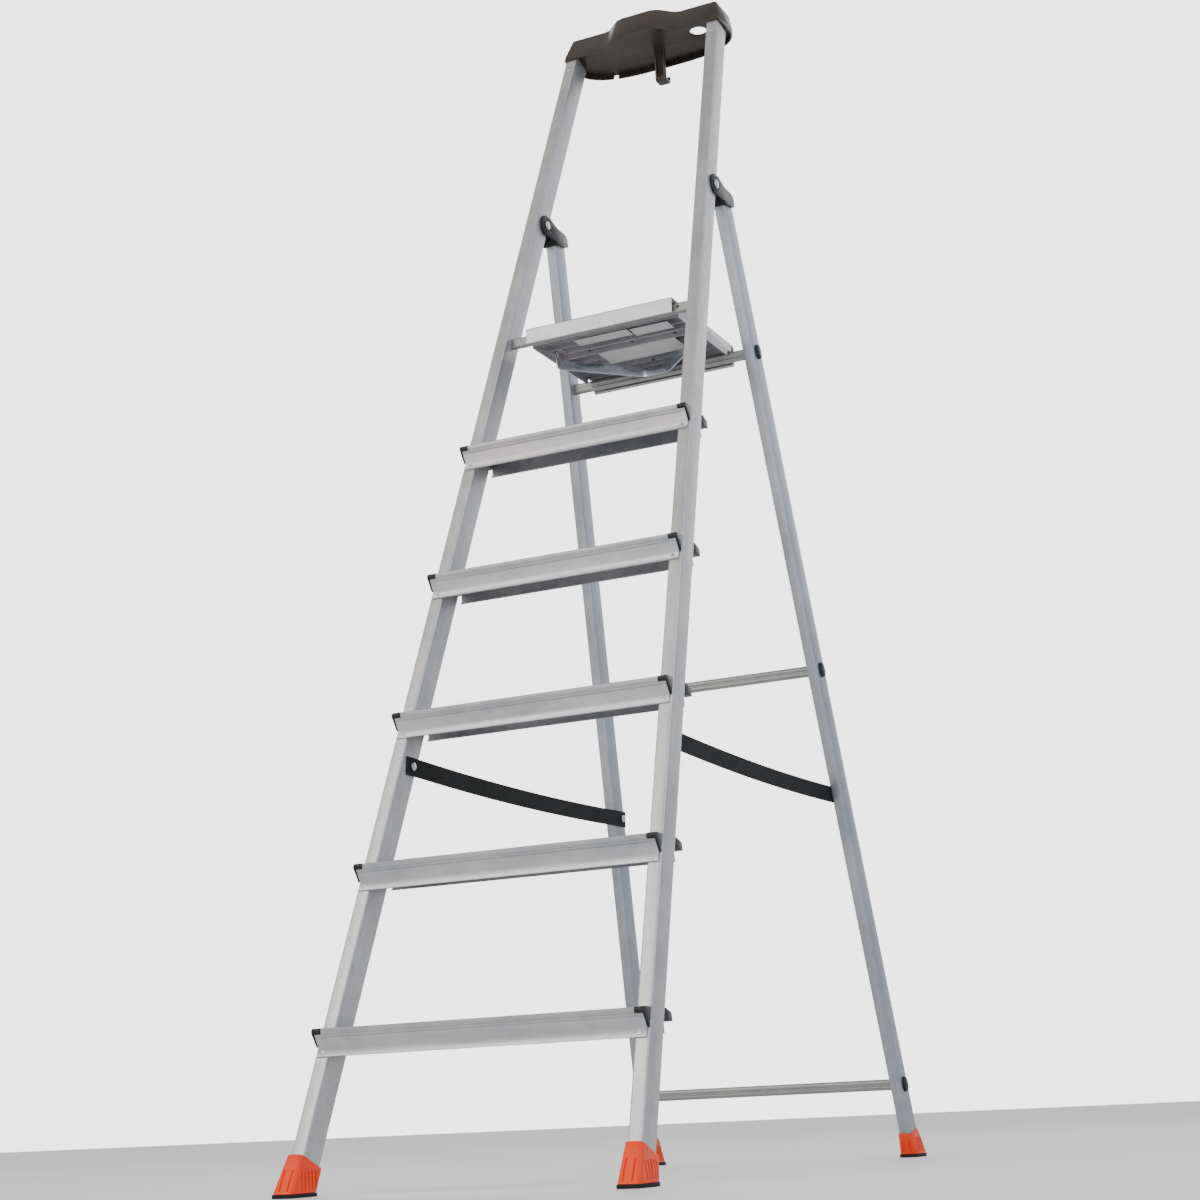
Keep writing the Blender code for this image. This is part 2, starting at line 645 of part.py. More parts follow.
# ---- rear frame ---------------------------------------------------------------------
def add_rear_legs(axis):
    for label, side in SIDES:
        low_x, high_x = across(side, 0, LEG_WIDE)
        bm = tube((low_x, LEG_SETBACK, LEG_BOTTOM), (high_x, LEG_SETBACK + LEG_DEEP, LEG_TOP),
                  LEG_WALL, 0.0020)
        made = add_object("rear_leg_" + label, bm, "aluminium", axis, axis.matrix_world.inverted()
                          @ leg_matrix(side))
        solidify(made, LEG_WALL)
        for name, height in BAR_HEIGHTS.items():
            slot = extrude_outline(oval(BAR_DEEP + 2 * GAP, BAR_TALL + 2 * GAP), -0.04, 0.04)
            y, z = rear_point(height, LEG_MIDDLE)
            where = (Matrix.Translation((side * rear_half_width(height, y), y, z))
                     @ Matrix.Rotation(REAR_LEAN, 4, "X"))
            boolean(made, add_cutter("cut_leg_%s_%s" % (name, label), slot, where=where))
        rivet = cylinder(RIVET_SHANK + GAP, -0.006, 0.006, 16)
        y = STRAP_RIVETS["rear"]
        inner = side * (rear_half_width(STRAP_Z, y) - LEG_WIDE)
        where = Matrix.Translation((inner, y, STRAP_Z))
        boolean(made, add_cutter("cut_strap_rear_" + label, rivet, where=where))


def add_rear_bars(axis):
    for name, height in BAR_HEIGHTS.items():
        y, z = rear_point(height, LEG_MIDDLE)
        half = rear_half_width(height, y) - 0.0008
        local = (axis.matrix_world.inverted() @ Matrix.Translation((0, y, z))
                 @ Matrix.Rotation(REAR_LEAN, 4, "X"))
        add_bar("rear_bar_" + name, half, axis, local)
        for label, side in SIDES:
            bm = bar_cap()
            bmesh.ops.transform(bm, matrix=Matrix.Diagonal((side, 1, 1, 1)), verts=bm.verts[:])
            tilt = atan(REAR_TAPER * cos(REAR_LEAN))
            place = (Matrix.Translation((side * rear_half_width(height, y), y, z))
                     @ Matrix.Rotation(REAR_LEAN, 4, "X") @ Matrix.Rotation(-side * tilt, 4, "Y"))
            add_object("bar_cap_%s_%s" % (name, label), bm, "black", axis,
                       axis.matrix_world.inverted() @ place)


def add_bar(name, half, parent, where):
    """Flat oval tube along X, open at both ends, with two grooves along each face."""
    bm = extrude_outline(grooved_oval(BAR_DEEP, BAR_TALL), -half, half)
    made = add_object(name, bm, "aluminium", parent, where)
    inside = oval(BAR_DEEP - 2 * BAR_WALL, BAR_TALL - 2 * BAR_WALL)
    bore = extrude_outline(inside, -half - 0.01, half + 0.01)
    boolean(made, add_cutter("cut_inside_" + name, bore, parent, where))


def grooved_oval(deep, tall):
    groove = 0.0005
    flat = tall / 2 - deep / 2
    points = []
    for sign in (1, -1):
        bend = arc((0, sign * flat), deep / 2, 0 if sign > 0 else pi, pi if sign > 0 else 2 * pi, 6)
        points += bend
        edge = -sign * deep / 2
        inside = edge + sign * groove
        for y, z in ((edge, 2.4), (inside, 1.9), (inside, 0.5), (edge, 0.0), (inside, -0.5),
                     (inside, -1.9), (edge, -2.4)):
            points.append((y, sign * z * 0.001))
    return points


def bar_cap():
    bm = extrude_outline(oval(BAR_CAP_DEEP, BAR_CAP_TALL, 8), GAP, BAR_CAP_THICK)
    outer = [e for e in bm.edges if all(v.co.x > BAR_CAP_THICK - 1e-6 for v in e.verts)]
    bmesh.ops.bevel(bm, geom=outer, offset=0.0014, segments=2, profile=0.5, affect="EDGES")
    return bm


def add_hinge_caps(axis):
    """Plastic clevis on each leg top: two ears outside the stile and a body round the leg."""
    for label, side in SIDES:
        outer = front_half_width(HINGE_Z, HINGE_Y)
        wide = EAR_CLEAR + EAR_THICK
        back = LEG_SETBACK + LEG_DEEP + 0.0020
        front = LEG_SETBACK - 0.0020
        outline = arc((-0.0010, -0.0010), EAR_RADIUS, pi * 1.30, pi * 0.36, 14)
        outline += [(0.0155, 0.0145), (0.0240, 0.0090), (0.0340, 0.0020), (0.0460, -0.0025)]
        outline += [(back - 0.011, -0.0065), (back - 0.0035, -0.0105), (back, -0.0165)]
        outline += [(back, HINGE_CAP_BOTTOM), (front, HINGE_CAP_BOTTOM), (front - 0.0045, -0.0245)]
        low_x, high_x = sorted((side * (outer - STILE_WIDE - wide), side * (outer + wide)))
        bm = extrude_outline(outline, low_x, high_x)
        made = add_object("hinge_cap_" + label, bm, "black", axis)
        slot_x = sorted((side * (outer - STILE_WIDE - EAR_CLEAR), side * (outer + EAR_CLEAR)))
        slot = box((slot_x[0], -0.04, -0.08), (slot_x[1], LEG_SETBACK - 0.0045, 0.05))
        boolean(made, add_cutter("cut_hinge_slot_" + label, slot, axis))
        low_x, high_x = across(side, -GAP, LEG_WIDE + GAP)
        leg = box((low_x, LEG_SETBACK - GAP, -0.1), (high_x, LEG_SETBACK + LEG_DEEP + GAP, LEG_TOP + GAP))
        boolean(made, add_cutter("cut_hinge_leg_" + label, leg, where=leg_matrix(side)))
        hole = cylinder(PIN_RADIUS + 0.00008, -0.3, 0.3, 32)
        boolean(made, add_cutter("cut_hinge_pin_" + label, hole, axis))


# ---- platform -----------------------------------------------------------------------
def add_front_bar():
    half = front_half_width(FRONT_BAR_Z + BAR_TALL / 2, FRONT_BAR_Y) - STILE_WIDE - GAP
    where = Matrix.Translation((0, FRONT_BAR_Y, FRONT_BAR_Z))
    add_bar("platform_front_bar", half, None, where)


def deck_profile():
    """Closed outline of the deck extrusion, (y, z) in the world."""
    skin = DECK_SKIN
    top = DECK_TOP_Z
    low = top - 0.0007
    end = DECK_HOOK_Y + 0.0080
    points = [(DECK_FRONT_Y, DECK_LIP_Z + 0.001), (DECK_FRONT_Y, top - 0.0020),
              (DECK_FRONT_Y + 0.0020, top)]
    first = DECK_FRONT_Y + 0.012
    count = 24
    pitch = (end - 0.010 - first) / count
    for i in range(count):
        y = first + pitch * i
        points += [(y, top), (y + 0.0007, low), (y + pitch / 2 - 0.0007, low), (y + pitch / 2, top)]
    points += [(end - 0.0015, top), (end, top - 0.0015), (end, HOOK_LOW_Z + 0.0020),
               (end - 0.0014, HOOK_LOW_Z + 0.0006), (end - 0.0028, HOOK_LOW_Z + 0.0024),
               (end - 0.0042, HOOK_LOW_Z + 0.0006), (end - 0.0056, HOOK_LOW_Z),
               (DECK_HOOK_Y, HOOK_LOW_Z + 0.0018), (DECK_HOOK_Y, HOOK_LOW_Z + 0.0052),
               (DECK_HOOK_Y + 0.0050, HOOK_LOW_Z + 0.0078), (DECK_HOOK_Y + 0.0050, top - 0.006)]
    under = low - skin
    seat = SEAT_Z + GAP
    points += [(DECK_HOOK_Y + 0.0020, under), (0.7610, under), (0.7610, seat), (0.7592, seat),
               (0.7592, under), (0.7526, under), (0.7526, seat), (0.7508, seat), (0.7508, under)]
    for y in (0.7300, 0.7040, 0.6780, 0.6520, 0.6260, 0.6000, 0.5740):
        points += [(y, under), (y, DECK_RIB_Z), (y - 0.0016, DECK_RIB_Z), (y - 0.0016, under)]
    wall = FRONT_BAR_Y + 0.0125
    points += [(wall + 0.0018, under), (wall + 0.0018, DECK_LIP_Z + 0.004),
               (wall, DECK_LIP_Z + 0.004), (wall, under)]
    rest = FRONT_BAR_Z + BAR_TALL / 2 + GAP
    for y in (FRONT_BAR_Y + 0.0045, FRONT_BAR_Y - 0.0029):      # ribs that sit on the front bar
        points += [(y, under), (y, rest), (y - 0.0016, rest), (y - 0.0016, under)]
    points += [(DECK_FRONT_Y + 0.0040, under), (DECK_FRONT_Y + 0.0020, under - 0.002),
               (DECK_FRONT_Y + 0.0020, DECK_LIP_Z), (DECK_FRONT_Y + 0.0008, DECK_LIP_Z)]
    return points


def add_deck(axis):
    """Platform: ribbed extrusion with two side plates, hung on the front bar."""
    bm = extrude_outline(deck_profile(), -DECK_HALF + 0.0010, DECK_HALF - 0.0010)
    local = axis.matrix_world.inverted()
    deck = add_object("platform_deck", bm, "tread", axis, local)
    for label, side in SIDES:
        low_x, high_x = sorted((side * (DECK_HALF - 0.0018), side * DECK_HALF))
        plate = [(0.5455, DECK_LIP_Z), (0.5455, DECK_TOP_Z - 0.0008),
                 (0.7600, DECK_TOP_Z - 0.0008), (0.7600, SIDE_PLATE_LOW_Z + 0.0012),
                 (0.7440, SIDE_PLATE_LOW_Z), (0.7415, DECK_LIP_Z)]
        side_plate = extrude_outline(plate, low_x, high_x)
        boolean(deck, add_cutter("add_deck_side_" + label, side_plate), "UNION")
        room_x = sorted((side * (DECK_HALF - 0.0155), side * (DECK_HALF - 0.0019)))
        ceiling = DECK_TOP_Z - 0.0004 - DECK_SKIN
        tab_room = box((room_x[0], BAIL_PIVOT_Y - 0.014, 1.28),
                       (room_x[1], BAIL_PIVOT_Y + 0.020, ceiling))
        boolean(deck, add_cutter("cut_deck_tab_" + label, tab_room))
        hole = cylinder(0.0023, -0.02, 0.02, 16)
        where = Matrix.Translation((side * DECK_HALF, BAIL_PIVOT_Y, BAIL_PIVOT_Z))
        boolean(deck, add_cutter("cut_deck_rivet_" + label, hole, where=where))


def add_bail(axis):
    """Bent flat strip under the deck, pivoted on both side plates."""
    tab_x = DECK_HALF - 0.0018 - GAP
    tall = (BAIL_HIGH_Z - BAIL_LOW_Z)
    path = [(-tab_x, BAIL_PIVOT_Y - 0.0055), (-tab_x, BAIL_PIVOT_Y + 0.010),
            (-BAIL_HALF, BAIL_REAR_Y), (BAIL_HALF, BAIL_REAR_Y),
            (tab_x, BAIL_PIVOT_Y + 0.010), (tab_x, BAIL_PIVOT_Y - 0.0055)]
    bm = bmesh.new()
    verts = [bm.verts.new((x, y, BAIL_LOW_Z)) for x, y in path]
    edges = [bm.edges.new(pair) for pair in zip(verts, verts[1:])]
    bmesh.ops.bevel(bm, geom=verts[1:-1], offset=0.008, segments=3, profile=0.5, affect="VERTICES")
    grown = bmesh.ops.extrude_edge_only(bm, edges=bm.edges[:])
    moved = [item for item in grown["geom"] if isinstance(item, bmesh.types.BMVert)]
    bmesh.ops.translate(bm, vec=(0, 0, tall), verts=moved)
    for vert in moved:                      # the ends rise to the pivots
        if vert.co.y < BAIL_PIVOT_Y + 0.001:
            vert.co.z = BAIL_PIVOT_Z + 0.0040
    for vert in bm.verts:
        if vert.co.y < BAIL_PIVOT_Y + 0.001 and vert.co.z < BAIL_HIGH_Z:
            vert.co.z = BAIL_PIVOT_Z - 0.0050
    bmesh.ops.recalc_face_normals(bm, faces=bm.faces[:])
    bmesh.ops.solidify(bm, geom=bm.faces[:], thickness=BAIL_SHEET)
    made = add_object("platform_bail", bm, "steel", axis, axis.matrix_world.inverted())
    hole = cylinder(0.0021, -0.2, 0.2, 16)
    where = Matrix.Translation((0, BAIL_PIVOT_Y, BAIL_PIVOT_Z))
    boolean(made, add_cutter("cut_bail_holes", hole, where=where))
    return made


def add_bail_rivets(axis):
    for label, side in SIDES:
        low = DECK_HALF - 0.0018 - 2 * GAP - BAIL_SHEET - 0.0002
        bm = headed_pin(0.0020, low, DECK_HALF + GAP, 0.0042, 0.0010, both=True, segments=16)
        bmesh.ops.transform(bm, matrix=Matrix.Diagonal((side, 1, 1, 1)), verts=bm.verts[:])
        where = Matrix.Translation((0, BAIL_PIVOT_Y, BAIL_PIVOT_Z))
        add_object("bail_rivet_" + label, bm, "steel", axis, axis.matrix_world.inverted() @ where)


# ---- straps -------------------------------------------------------------------------
def strap_x(y, z):
    """Distance of the strap's outer surface from the middle: flat on stile and on leg."""
    front = front_half_width(z, min(y, STRAP_FRONT_Y + 0.05)) - STILE_WIDE - GAP
    rear = rear_half_width(z, max(y, STRAP_REAR_Y - 0.05)) - LEG_WIDE - GAP
    start, stop = STRAP_FRONT_Y + 0.05, STRAP_REAR_Y - 0.05
    share = min(max((y - start) / (stop - start), 0.0), 1.0)
    return front + (rear - front) * share


def add_straps():
    count = 24
    for label, side in SIDES:
        bm = bmesh.new()
        bmesh.ops.create_grid(bm, x_segments=count, y_segments=1, size=0.5)
        for vert in bm.verts:
            share = vert.co.x + 0.5
            y = STRAP_FRONT_Y + (STRAP_REAR_Y - STRAP_FRONT_Y) * share
            drop = STRAP_SAG * (1 - (2 * share - 1) ** 2)
            z = STRAP_Z - drop + vert.co.y * STRAP_WIDE
            vert.co = Vector((side * strap_x(y, z), y, z))
        bmesh.ops.recalc_face_normals(bm, faces=bm.faces[:])
        if (bm.faces[:][0].normal.x > 0) != (side > 0):
            bmesh.ops.reverse_faces(bm, faces=bm.faces[:])
        bmesh.ops.solidify(bm, geom=bm.faces[:], thickness=STRAP_THICK)
        made = add_object("strap_" + label, bm, "webbing")
        for end, y in STRAP_RIVETS.items():
            hole = cylinder(RIVET_SHANK + GAP, -0.2 * 0, 0.4, 16)
            if side < 0:
                bmesh.ops.translate(hole, vec=(-0.4, 0, 0), verts=hole.verts[:])
            where = Matrix.Translation((0, y, STRAP_Z))
            boolean(made, add_cutter("cut_strap_%s_%s" % (end, label), hole, where=where))


def add_strap_rivets(rear_axis):
    for end, y in STRAP_RIVETS.items():
        for label, side in SIDES:
            wide = STILE_WIDE if end == "front" else LEG_WIDE
            half = (front_half_width if end == "front" else rear_half_width)(STRAP_Z, y)
            inner = half - wide
            under_head = inner - 2 * GAP - STRAP_THICK - 0.0010
            bm = headed_pin(RIVET_SHANK, -inner - 0.005, -under_head, RIVET_HEAD,
                            RIVET_HEAD_THICK, segments=16)
            bmesh.ops.transform(bm, matrix=Matrix.Diagonal((-side, 1, 1, 1)), verts=bm.verts[:])
            where = Matrix.Translation((0, y, STRAP_Z))
            parent = rear_axis if end == "rear" else None
            if parent:
                where = parent.matrix_world.inverted() @ where
            add_object("strap_rivet_%s_%s" % (end, label), bm, "steel", parent, where)


# ---- feet ---------------------------------------------------------------------------
def boot(centre_low, centre_high, wide, deep, high, slope):
    """Flared boot from the sole up to a mouth that fits round the tube."""
    bm = box((-0.5, -0.5, 0.0), (0.5, 0.5, 1.0))
    for vert in bm.verts:
        low = vert.co.z < 0.5
        x_size = wide + (2 * BOOT_FLARE if low else 0.0036)
        y_size = deep + (2 * BOOT_FLARE + 0.004 if low else 0.0040)
        centre = centre_low if low else centre_high
        back = vert.co.y * slope
        z = BOOT_SOLE + GAP if low else high - back
        vert.co = Vector((centre[0] + vert.co.x * x_size, centre[1] + vert.co.y * y_size, z))
    upright = [e for e in bm.edges if abs((e.verts[0].co - e.verts[1].co).z) > 0.02]
    bmesh.ops.bevel(bm, geom=upright, offset=0.0030, segments=2, profile=0.5, affect="EDGES")
    return bm


def sole(centre, wide, deep):
    low = Vector((centre[0] - wide / 2, centre[1] - deep / 2, 0.0))
    high = Vector((centre[0] + wide / 2, centre[1] + deep / 2, BOOT_SOLE))
    return rounded_box(low, high, 0.0030, edges="long")


def add_front_feet():
    for label, side in SIDES:
        def centre(height):
            x = side * (front_half_width(height) - STILE_WIDE / 2)
            return (x, front_plane_y(height) + STILE_DEEP / cos(FRONT_LEAN) / 2)
        deep = STILE_DEEP / cos(FRONT_LEAN)
        low = centre(0.0)
        high = FRONT_BOOT_HIGH
        bm = boot((low[0], low[1] - 0.003), centre(high), STILE_WIDE, deep, high, 0.020)
        made = add_object("front_boot_" + label, bm, "orange")
        room = stile_box(side, GAP, STILE_START - GAP, 0.4)
        cutter = add_cutter("cut_front_boot_" + label, room, where=stile_matrix(side))
        boolean(made, cutter)
        bottom = sole((low[0], low[1] - 0.003), STILE_WIDE + 2 * BOOT_FLARE + 0.0006,
                      deep + 2 * BOOT_FLARE + 0.0046)
        add_object("front_sole_" + label, bottom, "rubber")


def add_rear_feet(axis):
    deep = LEG_DEEP / cos(REAR_LEAN)
    local = axis.matrix_world.inverted()
    for label, side in SIDES:
        def centre(height):
            return (side * (rear_half_width(height) - LEG_WIDE / 2), rear_point(height, LEG_MIDDLE)[0])
        low = centre(0.0)
        high = REAR_BOOT_HIGH
        bm = boot((low[0], low[1] + 0.003), centre(high), LEG_WIDE, deep, high, -0.009)
        made = add_object("rear_boot_" + label, bm, "orange", axis, local)
        low_x, high_x = across(side, -GAP, LEG_WIDE + GAP)
        room = box((low_x, LEG_SETBACK - GAP, LEG_BOTTOM - GAP),
                   (high_x, LEG_SETBACK + LEG_DEEP + GAP, -1.2))
        boolean(made, add_cutter("cut_rear_boot_" + label, room, where=leg_matrix(side)))
        bottom = sole((low[0], low[1] + 0.003), LEG_WIDE + 2 * BOOT_FLARE + 0.0006,
                      deep + 2 * BOOT_FLARE + 0.0046)
        add_object("rear_sole_" + label, bottom, "rubber", axis, local)


# ---- assembly -----------------------------------------------------------------------
clear_scene()
PARTS = new_collection(COLLECTION)
CUTTERS = new_collection("cutters")
CUTTERS.hide_render = True
STILES = {}
SEAT_Z = BAR_HEIGHTS["top"] + BAR_TALL / 2

rear_axis = empty("rear_frame_axis", (0, HINGE_Y, HINGE_Z), REAR_LEAN)
platform_axis = empty("platform_axis", (0, FRONT_BAR_Y, FRONT_BAR_Z), 0.0)
bail_axis = empty("bail_axis", (0, BAIL_PIVOT_Y, BAIL_PIVOT_Z), 0.0)
bpy.context.view_layer.update()

add_stiles()
bore_stiles()
add_steps()
add_tray()
add_tray_rivets()
add_front_bar()
add_front_feet()
add_hinge_pins()
add_rear_legs(rear_axis)
add_rear_bars(rear_axis)
add_hinge_caps(rear_axis)
add_rear_feet(rear_axis)
add_deck(platform_axis)
add_bail_rivets(platform_axis)
add_bail(bail_axis)
add_straps()
add_strap_rivets(rear_axis)

for made in list(PARTS.objects) + list(CUTTERS.objects):
    if made.parent is None:
        made.location.y -= CENTRE_Y
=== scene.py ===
import json
import math

import bmesh
import bpy
from mathutils import Matrix, Vector

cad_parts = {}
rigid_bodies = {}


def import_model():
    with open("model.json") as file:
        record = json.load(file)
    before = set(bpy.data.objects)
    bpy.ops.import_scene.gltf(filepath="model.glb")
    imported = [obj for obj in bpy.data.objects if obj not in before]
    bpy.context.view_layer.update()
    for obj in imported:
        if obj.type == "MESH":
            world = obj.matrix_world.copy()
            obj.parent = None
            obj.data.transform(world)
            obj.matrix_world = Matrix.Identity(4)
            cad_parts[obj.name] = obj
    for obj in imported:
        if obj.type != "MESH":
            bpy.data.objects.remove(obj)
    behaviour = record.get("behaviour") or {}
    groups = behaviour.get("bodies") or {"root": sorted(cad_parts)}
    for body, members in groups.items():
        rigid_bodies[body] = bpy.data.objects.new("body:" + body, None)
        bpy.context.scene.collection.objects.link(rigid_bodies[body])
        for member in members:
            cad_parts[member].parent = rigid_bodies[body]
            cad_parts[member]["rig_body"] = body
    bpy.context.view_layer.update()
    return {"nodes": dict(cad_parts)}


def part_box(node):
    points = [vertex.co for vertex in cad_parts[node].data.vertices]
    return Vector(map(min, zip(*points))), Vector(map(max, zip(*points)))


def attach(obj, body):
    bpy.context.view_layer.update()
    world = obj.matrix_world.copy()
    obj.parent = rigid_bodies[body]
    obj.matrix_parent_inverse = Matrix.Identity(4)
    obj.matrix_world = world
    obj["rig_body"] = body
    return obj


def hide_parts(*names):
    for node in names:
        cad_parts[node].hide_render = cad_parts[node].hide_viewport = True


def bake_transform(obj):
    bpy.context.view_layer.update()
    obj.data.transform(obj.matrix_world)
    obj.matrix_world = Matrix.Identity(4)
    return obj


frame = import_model()
bpy.context.view_layer.update()

# the ladder's own layout, in metres, as it stands open
ladder = {
    "frontLean": math.radians(21.6),
    "rearLean": math.radians(14.1),
    "shift": -0.548,             # the stiles' front faces meet the floor here
    "frontHalf": 0.248,
    "frontTaper": 0.055,
    "rearHalf": 0.2398,
    "rearTaper": 0.0509,
    "hingeY": 0.638,
    "hingeZ": 1.533,
    "gap": 0.0003,
}
sides = (("left", -1.0), ("right", 1.0))
frontLean, rearLean = ladder["frontLean"], ladder["rearLean"]


# where things are

def frontY(z):
    # front face of the stiles at a height, before the shift
    return math.tan(frontLean) * z


def frontHalf(z, y=None):
    behind = 0.0 if y is None else (y - frontY(z)) * math.cos(frontLean)
    return ladder["frontHalf"] - ladder["frontTaper"] * (z + behind * math.sin(frontLean))


def rearHalf(z, y=None):
    behind = 0.0
    if y is not None:
        behind = (y - ladder["hingeY"]) * math.cos(rearLean) + (z - ladder["hingeZ"]) * math.sin(rearLean)
    return ladder["rearHalf"] - ladder["rearTaper"] * (z - behind * math.sin(rearLean))


def moved(x, y, z):
    return Matrix.Translation((x, y + ladder["shift"], z))


def stilePlace(side):
    tilt = math.atan(ladder["frontTaper"] * math.cos(frontLean))
    return (moved(0, 0, 0) @ Matrix.Rotation(-frontLean, 4, "X")
            @ Matrix.Translation((side * ladder["frontHalf"], 0, 0)) @ Matrix.Rotation(-side * tilt, 4, "Y"))


def legPlace(side):
    tilt = math.atan(ladder["rearTaper"] * math.cos(rearLean))
    return (moved(side * rearHalf(ladder["hingeZ"]), ladder["hingeY"], ladder["hingeZ"])
            @ Matrix.Rotation(rearLean, 4, "X") @ Matrix.Rotation(-side * tilt, 4, "Y"))


# shape helpers

def nodeShape(name):
    # a welded copy of a CAD solid, with its flat areas as single faces
    bm = bmesh.new()
    bm.from_mesh(frame["nodes"][name].data)
    bmesh.ops.remove_doubles(bm, verts=bm.verts[:], dist=2e-5)
    bmesh.ops.dissolve_limit(bm, angle_limit=math.radians(0.6), verts=bm.verts[:], edges=bm.edges[:])
    return bm


def roundEdges(bm, radius, angle):
    # rounds every edge that turns by more than the angle, in degrees
    limit = math.radians(angle)
    chosen = [e for e in bm.edges if len(e.link_faces) == 2 and e.calc_face_angle(0.0) > limit]
    bmesh.ops.bevel(bm, geom=chosen, offset=radius, segments=2, profile=0.5, material=-1,
                    affect="EDGES", clamp_overlap=True)
    return bm


def block(low, high):
    bm = bmesh.new()
    bmesh.ops.create_cube(bm, size=1.0)
    low, high = Vector(low), Vector(high)
    bmesh.ops.scale(bm, vec=high - low, verts=bm.verts[:])
    bmesh.ops.translate(bm, vec=(high + low) / 2, verts=bm.verts[:])
    return bm


def turned(profile, steps=32):
    # spins (x, radius) points round the X axis
    bm = bmesh.new()
    verts = [bm.verts.new((x, r, 0)) for x, r in profile]
    edges = [bm.edges.new(pair) for pair in zip(verts, verts[1:])]
    bmesh.ops.spin(bm, geom=verts + edges, axis=(1, 0, 0), cent=(0, 0, 0), angle=2 * math.pi,
                   steps=steps, use_merge=True)
    bmesh.ops.remove_doubles(bm, verts=bm.verts[:], dist=1e-6)
    bmesh.ops.recalc_face_normals(bm, faces=bm.faces[:])
    return bm


def extruded(points, low, high, axis="x"):
    bm = bmesh.new()
    if axis == "x":
        verts = [bm.verts.new((low, a, b)) for a, b in points]
        reach = Vector((high - low, 0, 0))
    else:
        verts = [bm.verts.new((a, b, low)) for a, b in points]
        reach = Vector((0, 0, high - low))
    grown = bmesh.ops.extrude_face_region(bm, geom=[bm.faces.new(verts)])
    bmesh.ops.translate(bm, vec=reach, verts=[g for g in grown["geom"] if isinstance(g, bmesh.types.BMVert)])
    bmesh.ops.recalc_face_normals(bm, faces=bm.faces[:])
    return bm


def placed(bm, matrix):
    bmesh.ops.transform(bm, matrix=matrix, verts=bm.verts[:])
    if matrix.determinant() < 0:
        bmesh.ops.reverse_faces(bm, faces=bm.faces[:])
    return bm


def together(first, *others):
    for other in others:
        held = bpy.data.meshes.new("held")
        other.to_mesh(held)
        other.free()
        first.from_mesh(held)
        bpy.data.meshes.remove(held)
    return first


def piece(bm, name, material, body, stands=(), smooth=32.0):
    mesh = bpy.data.meshes.new(name)
    bm.to_mesh(mesh)
    bm.free()
    mesh.shade_smooth()
    mesh.set_sharp_from_angle(angle=math.radians(smooth))
    mesh.materials.append(material)
    made = bpy.data.objects.new(name, mesh)
    bpy.context.scene.collection.objects.link(made)
    if body:
        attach(made, body)
    for node in stands:
        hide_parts(node)
    return made


def cutAway(made, cutter):
    # takes one shape out of another for good
    mesh = bpy.data.meshes.new("cutter")
    cutter.to_mesh(mesh)
    cutter.free()
    tool = bpy.data.objects.new("cutter", mesh)
    bpy.context.scene.collection.objects.link(tool)
    cut = made.modifiers.new("cut", "BOOLEAN")
    cut.object = tool
    cut.solver = "EXACT"
    result = bpy.data.meshes.new_from_object(made.evaluated_get(bpy.context.evaluated_depsgraph_get()))
    made.modifiers.clear()
    made.data = result
    bpy.data.objects.remove(tool)
    return made


# finishes

def newFinish(name):
    material = bpy.data.materials.new(name)
    material.use_nodes = True
    tree = material.node_tree
    return material, tree, tree.nodes["Principled BSDF"]


def objectPoint(tree, turn=(0, 0, 0), stretch=(1, 1, 1)):
    # Object coordinates, turned and then stretched
    place = tree.nodes.new("ShaderNodeTexCoord")
    rotate = tree.nodes.new("ShaderNodeMapping")
    rotate.inputs["Rotation"].default_value = turn
    scale = tree.nodes.new("ShaderNodeMapping")
    scale.inputs["Scale"].default_value = stretch
    tree.links.new(place.outputs["Object"], rotate.inputs["Vector"])
    tree.links.new(rotate.outputs["Vector"], scale.inputs["Vector"])
    return scale.outputs["Vector"]


def grain(tree, point, scale, detail=2.0, rough=0.5):
    noise = tree.nodes.new("ShaderNodeTexNoise")
    noise.inputs["Scale"].default_value = scale
    noise.inputs["Detail"].default_value = detail
    noise.inputs["Roughness"].default_value = rough
    tree.links.new(point, noise.inputs["Vector"])
    return noise.outputs["Fac"]


def ramp(tree, value, stops):
    made = tree.nodes.new("ShaderNodeValToRGB")
    made.color_ramp.elements[0].position = stops[0][0]
    made.color_ramp.elements[0].color = stops[0][1] + (1.0,)
    made.color_ramp.elements[1].position = stops[-1][0]
    made.color_ramp.elements[1].color = stops[-1][1] + (1.0,)
    for place, colour in stops[1:-1]:
        made.color_ramp.elements.new(place).color = colour + (1.0,)
    tree.links.new(value, made.inputs["Fac"])
    return made.outputs["Color"]


def spread(tree, value, low, high):
    made = tree.nodes.new("ShaderNodeMapRange")
    made.inputs["From Min"].default_value = 0.3
    made.inputs["From Max"].default_value = 0.7
    made.inputs["To Min"].default_value = low
    made.inputs["To Max"].default_value = high
    tree.links.new(value, made.inputs["Value"])
    return made.outputs["Result"]


def mixed(tree, first, second, share, blend="MIX"):
    made = tree.nodes.new("ShaderNodeMix")
    made.data_type = "RGBA"
    made.blend_type = blend
    made.inputs["Factor"].default_value = share
    tree.links.new(first, made.inputs["A"])
    tree.links.new(second, made.inputs["B"])
    return made.outputs["Result"]


def bumped(tree, shader, *layers):
    # each layer is (height output, distance in metres)
    last = None
    for height, distance in layers:
        bump = tree.nodes.new("ShaderNodeBump")
        bump.inputs["Strength"].default_value = 1.0
        bump.inputs["Distance"].default_value = distance
        tree.links.new(height, bump.inputs["Height"])
        if last:
            tree.links.new(last, bump.inputs["Normal"])
        last = bump.outputs["Normal"]
    tree.links.new(last, shader.inputs["Normal"])


